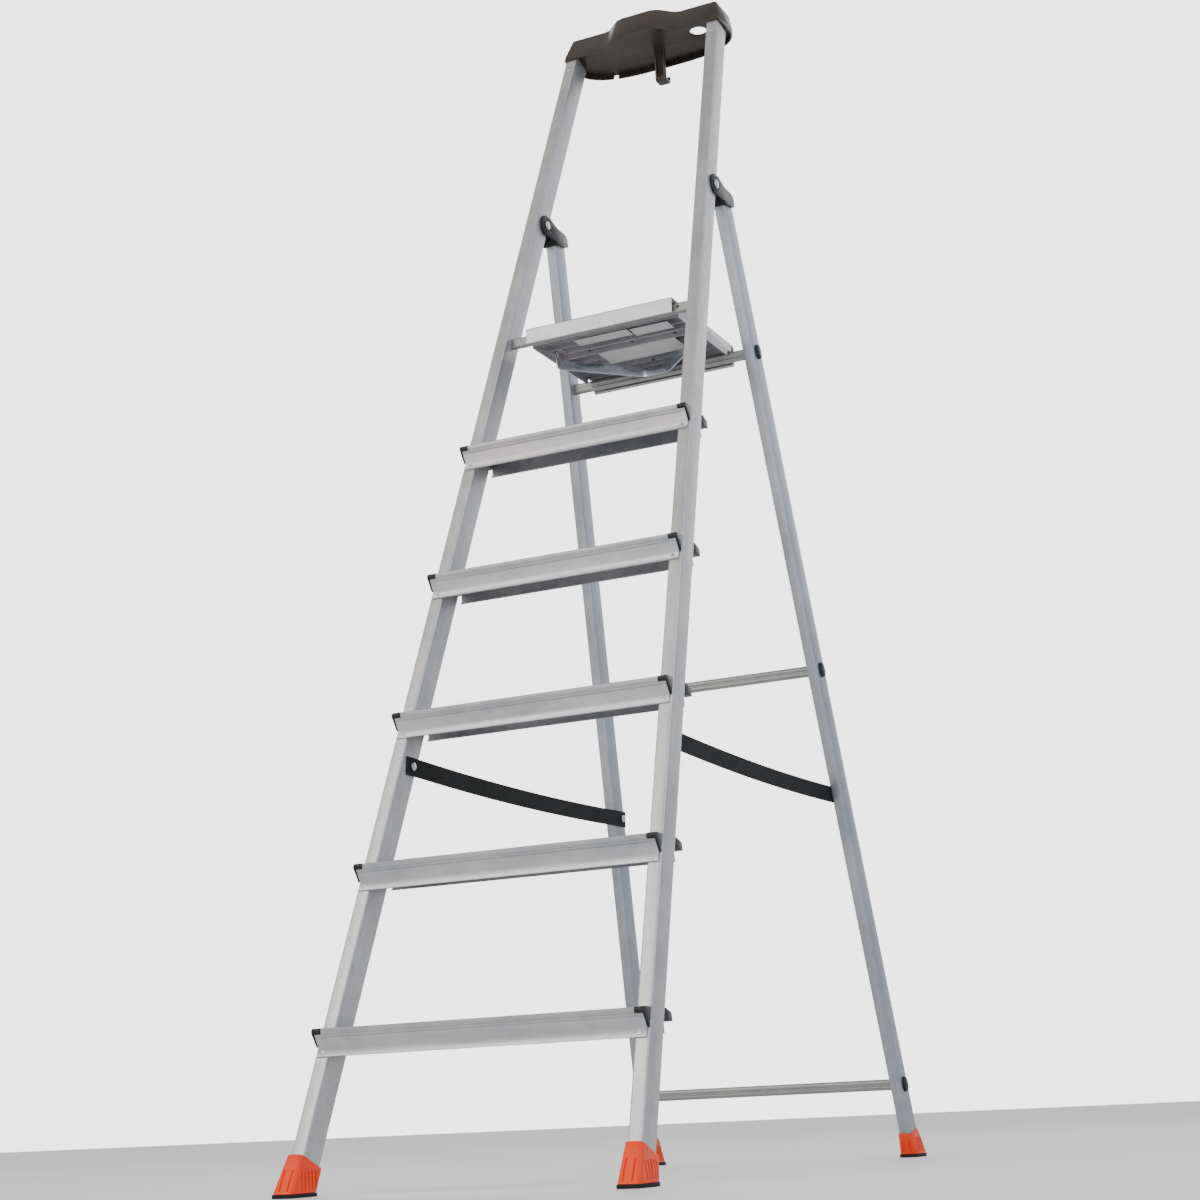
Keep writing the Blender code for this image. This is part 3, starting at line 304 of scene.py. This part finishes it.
# each part's aluminium tones; the finish blends between low and high as painted reflection mottling
aluminium = {
    "stile": {"turn": (frontLean, 0, 0), "stretch": (1, 1, 0.02),
              "low": (0.46, 0.465, 0.475), "high": (0.60, 0.595, 0.585)},
    "leg": {"turn": (-rearLean, 0, 0), "stretch": (1, 1, 0.02),
            "low": (0.34, 0.375, 0.41), "high": (0.46, 0.485, 0.515)},
    "tread": {"turn": (0, 0, 0), "stretch": (0.02, 1, 1),
              "low": (0.42, 0.445, 0.475), "high": (0.57, 0.545, 0.565)},
    "bar": {"turn": (0, 0, 0), "stretch": (0.02, 1, 1),
            "low": (0.29, 0.30, 0.295), "high": (0.40, 0.405, 0.395)},
}


millFinish = {"rough": (0.40, 0.53), "metal": 0.80, "lineDepth": 0.000012, "markDepth": 0.00002}


def aluminiumFinish(name):
    # pressed mill finish: draw lines along the length, painted reflection as soft cloudy mottling of the
    # colour, and soft handling marks
    facts = aluminium[name]
    material, tree, shader = newFinish(name + "Aluminium")
    along = objectPoint(tree, facts["turn"], facts["stretch"])
    even = objectPoint(tree, facts["turn"], (1, 1, 1))
    lines = grain(tree, along, 900.0, 3.0, 0.6)
    bands = grain(tree, along, 90.0, 2.0, 0.5)
    # painted reflection: this noise mottles the base colour between the low and high tones in place of soft
    # reflections, and also varies the roughness
    reflectionMottle = grain(tree, even, 9.0, 3.0, 0.55)
    marks = grain(tree, even, 55.0, 5.0, 0.65)
    base = ramp(tree, reflectionMottle, [(0.30, facts["low"]), (0.70, facts["high"])])
    streak = ramp(tree, bands, [(0.30, (0.90, 0.90, 0.90)), (0.70, (1.0, 1.0, 1.0))])
    colour = mixed(tree, base, streak, 1.0, "MULTIPLY")
    smudge = ramp(tree, marks, [(0.36, (0.86, 0.86, 0.87)), (0.56, (1.0, 1.0, 1.0))])
    colour = mixed(tree, colour, smudge, 0.7, "MULTIPLY")
    tree.links.new(colour, shader.inputs["Base Color"])
    tree.links.new(spread(tree, reflectionMottle, *millFinish["rough"]), shader.inputs["Roughness"])
    shader.inputs["Metallic"].default_value = millFinish["metal"]
    bumped(tree, shader, (lines, millFinish["lineDepth"]), (marks, millFinish["markDepth"]))
    return material


def plasticFinish(name, low, high, rough, bumpDepth=0.00004, scale=900.0, specular=0.5):
    # moulded plastic: fine spark grain, faint uneven gloss
    material, tree, shader = newFinish(name)
    point = objectPoint(tree)
    fine = grain(tree, point, scale, 2.0, 0.6)
    wide = grain(tree, point, 30.0, 3.0, 0.5)
    colour = ramp(tree, wide, [(0.32, low), (0.68, high)])
    tree.links.new(colour, shader.inputs["Base Color"])
    tree.links.new(spread(tree, wide, *rough), shader.inputs["Roughness"])
    shader.inputs["Specular IOR Level"].default_value = specular
    bumped(tree, shader, (fine, bumpDepth))
    return material


def zincFinish(name, low, high):
    # plated steel: small crystals and slightly uneven sheen
    material, tree, shader = newFinish(name)
    point = objectPoint(tree)
    cells = tree.nodes.new("ShaderNodeTexVoronoi")
    cells.inputs["Scale"].default_value = 350.0
    tree.links.new(point, cells.inputs["Vector"])
    wide = grain(tree, point, 60.0, 3.0, 0.55)
    colour = ramp(tree, wide, [(0.30, low), (0.70, high)])
    tree.links.new(colour, shader.inputs["Base Color"])
    tree.links.new(spread(tree, wide, 0.26, 0.40), shader.inputs["Roughness"])
    shader.inputs["Metallic"].default_value = 1.0
    bumped(tree, shader, (cells.outputs["Distance"], 0.00001))
    return material


def webbingFinish(name):
    # woven band: ribs across, two rows of edge binding, all on its own UV map
    material, tree, shader = newFinish(name)
    lay = tree.nodes.new("ShaderNodeUVMap")
    lay.uv_map = "band"
    point = lay.outputs["UV"]
    ribs = tree.nodes.new("ShaderNodeTexWave")
    ribs.bands_direction = "X"
    ribs.inputs["Scale"].default_value = 180.0
    ribs.inputs["Distortion"].default_value = 0.6
    ribs.inputs["Detail"].default_value = 2.0
    tree.links.new(point, ribs.inputs["Vector"])
    rows = tree.nodes.new("ShaderNodeTexWave")
    rows.bands_direction = "Y"
    rows.inputs["Scale"].default_value = 260.0
    tree.links.new(point, rows.inputs["Vector"])
    fuzz = grain(tree, point, 1800.0, 2.0, 0.7)
    colour = ramp(tree, ribs.outputs["Fac"], [(0.2, (0.007, 0.008, 0.008)), (0.8, (0.015, 0.016, 0.016))])
    tint = ramp(tree, fuzz, [(0.35, (0.80, 0.80, 0.80)), (0.65, (1.15, 1.15, 1.15))])
    tree.links.new(mixed(tree, colour, tint, 1.0, "MULTIPLY"), shader.inputs["Base Color"])
    shader.inputs["Roughness"].default_value = 0.78
    shader.inputs["Specular IOR Level"].default_value = 0.2
    bumped(tree, shader, (ribs.outputs["Fac"], 0.00016), (rows.outputs["Fac"], 0.00008))
    return material


stileMetal = aluminiumFinish("stile")
legMetal = aluminiumFinish("leg")
treadMetal = aluminiumFinish("tread")
barMetal = aluminiumFinish("bar")
blackPlastic = plasticFinish("capPlastic", (0.009, 0.010, 0.010), (0.016, 0.017, 0.017), (0.36, 0.50),
                             0.00010, 700.0, 0.30)
trayPlastic = plasticFinish("trayPlastic", (0.026, 0.021, 0.016), (0.038, 0.031, 0.025), (0.34, 0.46),
                            0.00005, 900.0, 0.35)
orangePlastic = plasticFinish("footPlastic", (0.80, 0.040, 0.002), (0.90, 0.056, 0.004), (0.40, 0.54),
                              0.00004, 900.0, 0.25)
soleRubber = plasticFinish("soleRubber", (0.008, 0.008, 0.009), (0.014, 0.014, 0.014), (0.62, 0.80),
                           0.00010, 500.0, 0.25)
labelFilm = plasticFinish("labelFilm", (0.42, 0.41, 0.42), (0.50, 0.49, 0.50), (0.30, 0.42), 0.00001)
zincSteel = zincFinish("zincSteel", (0.52, 0.53, 0.54), (0.68, 0.68, 0.68))
bailSteel = zincFinish("bailSteel", (0.45, 0.49, 0.53), (0.60, 0.64, 0.68))
darkSteel = zincFinish("darkSteel", (0.045, 0.040, 0.038), (0.085, 0.078, 0.072))
webbing = webbingFinish("webbing")
print("finishes made")


# tubes: stiles and rear legs

tubes = {
    "stileWide": 0.020, "stileDeep": 0.040, "stileWall": 0.0015, "stileFrom": 0.031, "stileTo": 2.0415,
    "legWide": 0.018, "legDeep": 0.037, "legWall": 0.0014, "legFrom": -1.5735, "legTo": -0.0125,
    "legSetback": 0.0337, "corner": 0.0026,
}


def roundedTube(side, wide, near, deep, low, high, wall):
    x = sorted((0.0, -side * wide))
    bm = block((x[0], near, low), (x[1], near + deep, high))
    upright = [e for e in bm.edges if abs((e.verts[0].co - e.verts[1].co).z) > 0.1]
    bmesh.ops.bevel(bm, geom=upright, offset=tubes["corner"], segments=5, profile=0.5, material=-1,
                    affect="EDGES")
    ends = [f for f in bm.faces if abs(f.normal.z) > 0.9]
    bmesh.ops.delete(bm, geom=ends, context="FACES_ONLY")
    bmesh.ops.recalc_face_normals(bm, faces=bm.faces[:])
    middle = Vector(((x[0] + x[1]) / 2, near + deep / 2, (low + high) / 2))
    outward = sum(f.normal.dot(f.calc_center_median() - middle) for f in bm.faces)
    if outward < 0:
        bmesh.ops.reverse_faces(bm, faces=bm.faces[:])
    bmesh.ops.solidify(bm, geom=bm.faces[:], thickness=wall)
    return bm


for label, side in sides:
    bm = roundedTube(side, tubes["stileWide"], 0.0, tubes["stileDeep"], tubes["stileFrom"],
                     tubes["stileTo"], tubes["stileWall"])
    placed(bm, stilePlace(side))
    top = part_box("stile_" + label)[1].z
    bmesh.ops.bisect_plane(bm, geom=bm.verts[:] + bm.edges[:] + bm.faces[:], plane_co=(0, 0, top),
                           plane_no=(0, 0, 1), clear_outer=True)
    bmesh.ops.holes_fill(bm, edges=[e for e in bm.edges if e.is_boundary], sides=0)
    piece(bm, "stileTube_" + label, stileMetal, "front_frame", ["stile_" + label])
    bm = roundedTube(side, tubes["legWide"], tubes["legSetback"], tubes["legDeep"], tubes["legFrom"],
                     tubes["legTo"], tubes["legWall"])
    placed(bm, legPlace(side))
    piece(bm, "rearLegTube_" + label, legMetal, "rear_frame", ["rear_leg_" + label])
print("stiles and legs made")


# treads, bars and deck keep their solids and are repainted

for name, node in frame["nodes"].items():
    finish = None
    if (name.startswith("step_") and "cap" not in name) or name == "platform_deck":
        finish = treadMetal
    if name.startswith("rear_bar") or name == "platform_front_bar":
        finish = barMetal
    if finish:
        bm = nodeShape(name)
        body = node["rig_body"]
        piece(bm, "fine_" + name, finish, body, [name])
print("treads and bars made")


# small black mouldings, welded from their solids and given soft edges

softEdges = {"step": 0.0006, "bar": 0.0004, "hinge": 0.0012, "sole": 0.0008}
barRim = {"wide": 0.0026, "step": 0.0006, "sunk": 0.0012}
for name, node in frame["nodes"].items():
    kind = None
    if name.startswith("step_") and "cap" in name:
        kind = "step"
    if name.startswith("bar_cap"):
        kind = "bar"
    if name.startswith("hinge_cap"):
        kind = "hinge"
    if "sole" in name:
        kind = "sole"
    if kind:
        bm = nodeShape(name)
        if kind == "bar":                # a rim round a sunken middle
            end = max(bm.faces, key=lambda f: abs(f.calc_center_median().x) + f.calc_area())
            bmesh.ops.inset_region(bm, faces=[end], thickness=barRim["wide"], depth=0.0)
            bmesh.ops.inset_region(bm, faces=[end], thickness=barRim["step"], depth=-barRim["sunk"])
        roundEdges(bm, softEdges[kind], 40.0)
        finish, slot = (soleRubber, "rubber") if kind == "sole" else (blackPlastic, "black")
        piece(bm, "soft_" + name, finish, node["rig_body"], [name])


earRing = {"inner": 0.0105, "outer": 0.0128, "high": 0.0009, "root": 0.0004, "ear": 0.0042, "steps": 40}


def ring(inner, outer, high):
    # a half-round bead round the X axis
    profile = []
    for i in range(7):
        turn = math.pi * i / 6
        profile.append((high * math.sin(turn), (inner + outer) / 2 - (outer - inner) / 2 * math.cos(turn)))
    profile += [(-earRing["root"], outer), (-earRing["root"], inner), (0.0, inner)]
    return turned(profile, earRing["steps"])


for label, side in sides:
    half = frontHalf(ladder["hingeZ"], ladder["hingeY"])
    rings = []
    for reach, turn in ((half + earRing["ear"], 1), (half - tubes["stileWide"] - earRing["ear"], -1)):
        about = 0.0 if side * turn > 0 else math.pi
        bm = ring(earRing["inner"], earRing["outer"], earRing["high"])
        placed(bm, moved(side * reach, ladder["hingeY"], ladder["hingeZ"]) @ Matrix.Rotation(about, 4, "Z"))
        rings.append(bm)
    piece(together(*rings), "earRings_" + label, blackPlastic, "rear_frame")
print("caps and soles made")


# tray

trayRibs = {
    "low": 1.8895, "high": 1.8992, "thick": 0.0014, "deep": 0.0045, "spread": 0.118, "count": 11,
    "notch": -0.0887, "notchRoom": 0.009,      # no stiffener beside the notch in the rim
    "rimHalf": 0.1475, "rimPower": 0.62,       # the curve of the rear skirt
    "rimY": 0.800, "rimBulge": 0.058, "wall": 0.0026, "rooted": 0.0012, "edge": 0.0007,
}
trayBm = roundEdges(nodeShape("tool_tray"), trayRibs["edge"], 50.0)
for index in range(trayRibs["count"]):
    # small stiffeners along the rear skirt, inside
    x = trayRibs["spread"] * (2 * index / (trayRibs["count"] - 1) - 1)
    if abs(x - trayRibs["notch"]) < trayRibs["notchRoom"]:
        continue
    turn = math.acos(min(1.0, (abs(x) / trayRibs["rimHalf"]) ** (1 / trayRibs["rimPower"])))
    rear = trayRibs["rimY"] + trayRibs["rimBulge"] * math.sin(turn) - trayRibs["wall"] + ladder["shift"]
    rib = block((x - trayRibs["thick"] / 2, rear - trayRibs["deep"], trayRibs["low"]),
                (x + trayRibs["thick"] / 2, rear + trayRibs["rooted"], trayRibs["high"]))
    together(trayBm, rib)
piece(trayBm, "tray", trayPlastic, "front_frame", ["tool_tray"])
print("tray made")


# feet

feet = {
    "sole": 0.005, "lift": 0.0002, "frontHigh": 0.0425, "frontSlope": 0.020,
    "rearHigh": 0.0405, "rearSlope": -0.009, "offset": 0.003,
    "flare": 0.0055, "toe": 0.004, "collar": 0.0040, "corner": 0.0052, "edge": 0.0004,
    "clear": 0.0004, "frontRoom": (0.028, 0.2), "rearRoom": (-1.58, -1.4),
    "grooveWide": 0.0030, "grooveDeep": 0.0022, "grooveFrom": 0.0085, "grooveTo": 0.031, "endShare": 0.72,
    "sideRows": (-0.60, -0.30, 0.0, 0.30, 0.60), "endRows": (-0.66, 0.66), "rowReach": 0.80,
}
legMiddle = tubes["legSetback"] + tubes["legDeep"] / 2


def rearCentre(z):
    # middle of a rear leg at a height, before the shift
    along = (z - ladder["hingeZ"] - legMiddle * math.sin(rearLean)) / math.cos(rearLean)
    return ladder["hingeY"] + legMiddle * math.cos(rearLean) - along * math.sin(rearLean)


def footBody(lowCentre, highCentre, wide, deep, high, slope):
    bm = block((-0.5, -0.5, 0.0), (0.5, 0.5, 1.0))
    for vert in bm.verts:
        low = vert.co.z < 0.5
        xSize = wide + (2 * feet["flare"] if low else feet["collar"])
        ySize = deep + (2 * feet["flare"] + feet["toe"] if low else feet["collar"])
        centre = lowCentre if low else highCentre
        z = feet["sole"] + feet["lift"] if low else high - vert.co.y * slope
        vert.co = Vector((centre[0] + vert.co.x * xSize, centre[1] + vert.co.y * ySize, z))
    upright = [e for e in bm.edges if abs((e.verts[0].co - e.verts[1].co).z) > 0.02]
    bmesh.ops.bevel(bm, geom=upright, offset=feet["corner"], segments=3, profile=0.5, material=-1,
                    affect="EDGES")
    bmesh.ops.recalc_face_normals(bm, faces=bm.faces[:])
    return bm


def footGrooves(bm):
    # slots pressed into the two long sides, and one near each edge of the end faces
    cutters = []
    for face in [f for f in bm.faces if abs(f.normal.z) < 0.5 and f.calc_area() > 0.0004]:
        normal = face.normal.copy()
        sideways = Vector((0, 0, 1)).cross(normal).normalized()
        climb = normal.cross(sideways).normalized()
        middle = face.calc_center_median()
        half = max(abs((v.co - middle).dot(sideways)) for v in face.verts)
        high = max(v.co.z for v in face.verts)
        onSide = abs(normal.x) > abs(normal.y)
        top = feet["grooveTo"] if onSide else high * feet["endShare"]
        for place in feet["sideRows"] if onSide else feet["endRows"]:
            start = middle + sideways * (place * half * feet["rowReach"])
            start = start + climb * ((feet["grooveFrom"] - start.z) / climb.z)
            groove = block((-feet["grooveDeep"], -feet["grooveWide"] / 2, 0.0),
                           (feet["grooveDeep"] * 2, feet["grooveWide"] / 2, top - feet["grooveFrom"]))
            axes = Matrix((normal, sideways, climb)).transposed().to_4x4()
            axes.translation = start
            cutters.append(placed(groove, axes))
    return together(*cutters)


for kind in ("front", "rear"):
    for label, side in sides:
        if kind == "front":
            deep, wide = tubes["stileDeep"] / math.cos(frontLean), tubes["stileWide"]
            low = (side * (frontHalf(0.0) - wide / 2), deep / 2 - feet["offset"] + ladder["shift"])
            z = feet["frontHigh"]
            high = (side * (frontHalf(z) - wide / 2), frontY(z) + deep / 2 + ladder["shift"])
            bm = footBody(low, high, wide, deep, z, feet["frontSlope"])
        else:
            deep, wide = tubes["legDeep"] / math.cos(rearLean), tubes["legWide"]
            low = (side * (rearHalf(0.0, rearCentre(0.0)) - wide / 2),
                   rearCentre(0.0) + feet["offset"] + ladder["shift"])
            z = feet["rearHigh"]
            high = (side * (rearHalf(z, rearCentre(z)) - wide / 2), rearCentre(z) + ladder["shift"])
            bm = footBody(low, high, wide, deep, z, feet["rearSlope"])
        grooves = footGrooves(bm)
        name = "%s_boot_%s" % (kind, label)
        made = piece(bm, "foot_%s_%s" % (kind, label), orangePlastic,
                     "front_frame" if kind == "front" else "rear_frame", [name])
        cutAway(made, grooves)
        clear = feet["clear"]            # room for the tube inside the foot
        left, right = min(0, -side * wide) - clear, max(0, -side * wide) + clear
        if kind == "front":
            base, end = feet["frontRoom"]
            sleeve = block((left, -clear, base), (right, tubes["stileDeep"] + clear, end))
            placed(sleeve, stilePlace(side))
        else:
            base, end = feet["rearRoom"]
            near = tubes["legSetback"]
            sleeve = block((left, near - clear, base), (right, near + tubes["legDeep"] + clear, end))
            placed(sleeve, legPlace(side))
        cutAway(made, sleeve)
        bm = bmesh.new()
        bm.from_mesh(made.data)
        roundEdges(bm, feet["edge"], 30.0)
        bm.to_mesh(made.data)
        bm.free()
        made.data.shade_smooth()
        made.data.set_sharp_from_angle(angle=math.radians(35))
print("feet made")


# fasteners

def domeHead(radius, high):
    profile = [(0.0, 0.0), (0.0, radius), (high * 0.25, radius)]
    for i in range(1, 6):
        turn = math.pi / 2 * i / 5
        profile.append((high * (0.25 + 0.75 * math.sin(turn)), radius * math.cos(turn) if i < 5 else 0.0))
    return turned(profile, 28)


def blindHead(radius, high):
    # low dome with a dimple where its mandrel broke off
    profile = [(0.0, 0.0), (0.0, radius), (high * 0.35, radius), (high * 0.8, radius * 0.8),
               (high, radius * 0.55), (high * 0.9, radius * 0.36), (high * 0.35, radius * 0.30),
               (high * 0.35, 0.0)]
    return turned(profile, 24)


stepRivets = {
    "first": 0.178, "pitch": 0.220, "count": 5, "inset": 0.0125, "radius": 0.0030, "high": 0.0011,
    "stand": 0.0021, "coreWide": 0.30, "coreHigh": 0.25, "coreAt": 0.34,     # cores as shares of the head
}
heads, cores = [], []
for index in range(stepRivets["count"]):
    z = stepRivets["first"] + stepRivets["pitch"] * index
    for label, side in sides:
        head = blindHead(stepRivets["radius"], stepRivets["high"])
        core = domeHead(stepRivets["radius"] * stepRivets["coreWide"],
                        stepRivets["high"] * stepRivets["coreHigh"])
        x = side * (frontHalf(z) - stepRivets["inset"])
        out = stepRivets["stand"] / math.cos(frontLean)
        place = (moved(x, frontY(z) - out, z) @ Matrix.Rotation(-frontLean, 4, "X")
                 @ Matrix.Rotation(-math.pi / 2, 4, "Z"))
        heads.append(placed(head, place))
        sunk = Matrix.Translation((stepRivets["high"] * stepRivets["coreAt"], 0, 0))
        cores.append(placed(core, place @ sunk))
piece(together(*heads), "treadRivets", zincSteel, "front_frame")
piece(together(*cores), "treadRivetCores", darkSteel, "front_frame")

fastenerEdge = 0.0003
for name, node in frame["nodes"].items():
    if "rivet" in name or "hinge_pin" in name:
        bm = nodeShape(name)
        roundEdges(bm, fastenerEdge, 30.0)
        piece(bm, "fine_" + name, zincSteel, node["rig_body"], [name], 40.0)
print("fasteners made")


# labels, rivets and a screw under the platform

deckUnder = {
    "z": 1.29335, "film": 0.0002, "rivetRadius": 0.0036, "rivetHigh": 0.0012,
    "labels": [[(-0.0710, 0.0560), (0.0230, 0.0560), (0.0230, 0.0295), (-0.0710, 0.0295)],
               [(0.0265, 0.0635), (0.0920, 0.0635), (0.0920, 0.0330), (0.0265, 0.0330)],
               [(-0.0630, 0.1575), (0.0740, 0.1575), (0.0740, 0.1035), (-0.0630, 0.1035)]],
    "rivets": [(-0.0679, 0.0829), (0.0082, 0.0835), (0.0838, 0.0846), (0.0036, 0.1772)],
}
films = [extruded(corners, deckUnder["z"] - deckUnder["film"], deckUnder["z"], "z")
         for corners in deckUnder["labels"]]
piece(together(*films), "blankLabels", labelFilm, "platform")
heads = []
for x, y in deckUnder["rivets"]:
    head = domeHead(deckUnder["rivetRadius"], deckUnder["rivetHigh"])
    turnDown = Matrix.Rotation(math.pi / 2, 4, "Y")
    heads.append(placed(head, Matrix.Translation((x, y, deckUnder["z"])) @ turnDown))
piece(together(*heads), "deckRivets", darkSteel, "platform")
barScrew = {"place": (0.1335, -0.0192, 1.2915), "radius": 0.0026, "high": 0.0011}
screw = domeHead(barScrew["radius"], barScrew["high"])
placed(screw, Matrix.Translation(barScrew["place"]) @ Matrix.Rotation(-math.pi / 2, 4, "Z"))
piece(screw, "frontBarScrew", darkSteel, "front_frame")


# bail under the platform

bailEdge = 0.0005
bm = roundEdges(nodeShape("platform_bail"), bailEdge, 40.0)
piece(bm, "bailStrip", bailSteel, "platform_bail_body", ["platform_bail"])


# straps
# known fault: with the ladder folded they crumple into pointed wedges that stick out past the legs and
# may run into the third tread; the clash test leaves out pieces blended between these two bodies

straps = {"z": 0.573, "frontY": 0.2403, "rearY": 0.9520, "wide": 0.026, "thick": 0.0014, "sag": 0.007,
          "cuts": 96, "across": 6}


def strapSide(y, z):
    reach = 0.05
    front = frontHalf(z, min(y, straps["frontY"] + reach)) - tubes["stileWide"] - ladder["gap"]
    rear = rearHalf(z, max(y, straps["rearY"] - reach)) - tubes["legWide"] - ladder["gap"]
    share = (y - straps["frontY"] - reach) / (straps["rearY"] - straps["frontY"] - 2 * reach)
    share = min(max(share, 0.0), 1.0)
    return front + (rear - front) * share


for label, side in sides:
    bm = bmesh.new()
    bmesh.ops.create_grid(bm, x_segments=straps["cuts"], y_segments=straps["across"], size=0.5)
    lay = bm.loops.layers.uv.new("band")
    length = straps["rearY"] - straps["frontY"]
    for face in bm.faces:
        for loop in face.loops:
            loop[lay].uv = ((loop.vert.co.x + 0.5) * length, (loop.vert.co.y + 0.5) * straps["wide"])
    for vert in bm.verts:
        share, across = vert.co.x + 0.5, vert.co.y
        y = straps["frontY"] + length * share
        drop = straps["sag"] * (1 - (2 * share - 1) ** 2)
        z = straps["z"] - drop + across * straps["wide"]
        vert.co = Vector((side * strapSide(y, z), y + ladder["shift"], z))
    bmesh.ops.recalc_face_normals(bm, faces=bm.faces[:])
    if (bm.faces[:][0].normal.x > 0) != (side > 0):
        bmesh.ops.reverse_faces(bm, faces=bm.faces[:])
    bmesh.ops.solidify(bm, geom=bm.faces[:], thickness=straps["thick"])
    made = piece(bm, "strapBand_" + label, webbing, None, ["strap_" + label], 50.0)
    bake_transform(made)
print("straps made")


# camera, light and floor

view = {"place": (1.2991, -2.7972, 0.0754), "yaw": 25.41, "pitch": 14.07, "roll": -2.53, "lens": 62.45}
yaw, pitch, roll = (math.radians(view[k]) for k in ("yaw", "pitch", "roll"))
ahead = Vector((-math.sin(yaw) * math.cos(pitch), math.cos(yaw) * math.cos(pitch), math.sin(pitch)))
right = Vector((math.cos(yaw), math.sin(yaw), 0))
up = right.cross(ahead)
camX = math.cos(roll) * right + math.sin(roll) * up
camY = -math.sin(roll) * right + math.cos(roll) * up
cameraData = bpy.data.cameras.new("camera")
cameraData.lens = view["lens"]
cameraData.sensor_width = 36.0
cameraData.clip_end = 100.0
camera = bpy.data.objects.new("camera", cameraData)
pose = Matrix((camX, camY, -ahead)).transposed().to_4x4()
pose.translation = Vector(view["place"])
camera.matrix_world = pose
bpy.context.scene.collection.objects.link(camera)
bpy.context.scene.camera = camera

world = bpy.data.worlds.new("studio")
world.use_nodes = True
sky = world.node_tree
studio = {
    "front": (0.66, 0.65, 0.63), "back": (3.4, 3.4, 3.4), "right": (0.02, 0.08, 0.22),
    "heading": (-0.416, 0.876, 0.243), "windowEdge": (0.0, 0.9), "screenEdge": (0.78, 0.90),
}
heading = sky.nodes.new("ShaderNodeTexCoord")
parts = sky.nodes.new("ShaderNodeSeparateXYZ")
sky.links.new(heading.outputs["Generated"], parts.inputs["Vector"])
facing = sky.nodes.new("ShaderNodeVectorMath")
facing.operation = "DOT_PRODUCT"
facing.inputs[1].default_value = studio["heading"]
sky.links.new(heading.outputs["Generated"], facing.inputs[0])


def skyShare(value, low, high):
    made = sky.nodes.new("ShaderNodeMapRange")
    made.interpolation_type = "SMOOTHSTEP"
    made.inputs["From Min"].default_value = low
    made.inputs["From Max"].default_value = high
    sky.links.new(value, made.inputs["Value"])
    return made.outputs["Result"]


def skyMix(share, blend):
    made = sky.nodes.new("ShaderNodeMix")
    made.data_type = "RGBA"
    made.blend_type = blend
    sky.links.new(share, made.inputs["Factor"])
    return made


# a bright screen behind the ladder, a dimmer room round it, a cool window on the right
window = skyMix(skyShare(parts.outputs["X"], *studio["windowEdge"]), "ADD")
window.inputs["A"].default_value = studio["front"] + (1.0,)
window.inputs["B"].default_value = studio["right"] + (1.0,)
screen = skyMix(skyShare(facing.outputs["Value"], *studio["screenEdge"]), "MIX")
sky.links.new(window.outputs["Result"], screen.inputs["A"])
screen.inputs["B"].default_value = studio["back"] + (1.0,)
sky.links.new(screen.outputs["Result"], sky.nodes["Background"].inputs["Color"])
bpy.context.scene.world = world

lamps = {
    "key": {"place": (-1.6, -3.0, 2.6), "size": 1.8, "power": 56.0, "colour": (1.0, 0.95, 0.88)},
    "side": {"place": (2.9, -0.9, 2.8), "size": 0.8, "power": 38.0, "colour": (0.82, 0.89, 1.0)},
    "back": {"place": (0.4, 3.4, 2.8), "size": 2.4, "power": 24.0, "colour": (1.0, 1.0, 1.0)},
    "fill": {"place": (0.6, -3.2, 0.9), "size": 1.0, "power": 26.0, "colour": (1.0, 0.96, 0.92)},
}
lampAim = Vector((0, 0, 0.9))        # every lamp points at the middle of the ladder
for name, facts in lamps.items():
    lampData = bpy.data.lights.new(name, "AREA")
    lampData.shape = "DISK"
    lampData.size = facts["size"]
    lampData.energy = facts["power"]
    lampData.color = facts["colour"]
    lamp = bpy.data.objects.new(name, lampData)
    lamp.location = facts["place"]
    lamp.rotation_euler = (lampAim - Vector(facts["place"])).to_track_quat("-Z", "Y").to_euler()
    bpy.context.scene.collection.objects.link(lamp)

floorPaint = {"size": 30.0, "cloud": 0.8, "low": (0.60, 0.60, 0.60), "high": (0.64, 0.64, 0.64), "rough": 0.7}
floorBm = bmesh.new()
bmesh.ops.create_grid(floorBm, x_segments=1, y_segments=1, size=floorPaint["size"])
floorFinish, floorTree, floorShader = newFinish("floorPaint")
floorCloud = grain(floorTree, objectPoint(floorTree), floorPaint["cloud"], 2.0)
floorColour = ramp(floorTree, floorCloud, [(0.3, floorPaint["low"]), (0.7, floorPaint["high"])])
floorTree.links.new(floorColour, floorShader.inputs["Base Color"])
floorShader.inputs["Roughness"].default_value = floorPaint["rough"]
floor = piece(floorBm, "floor", floorFinish, None)
print("camera, light and floor set")
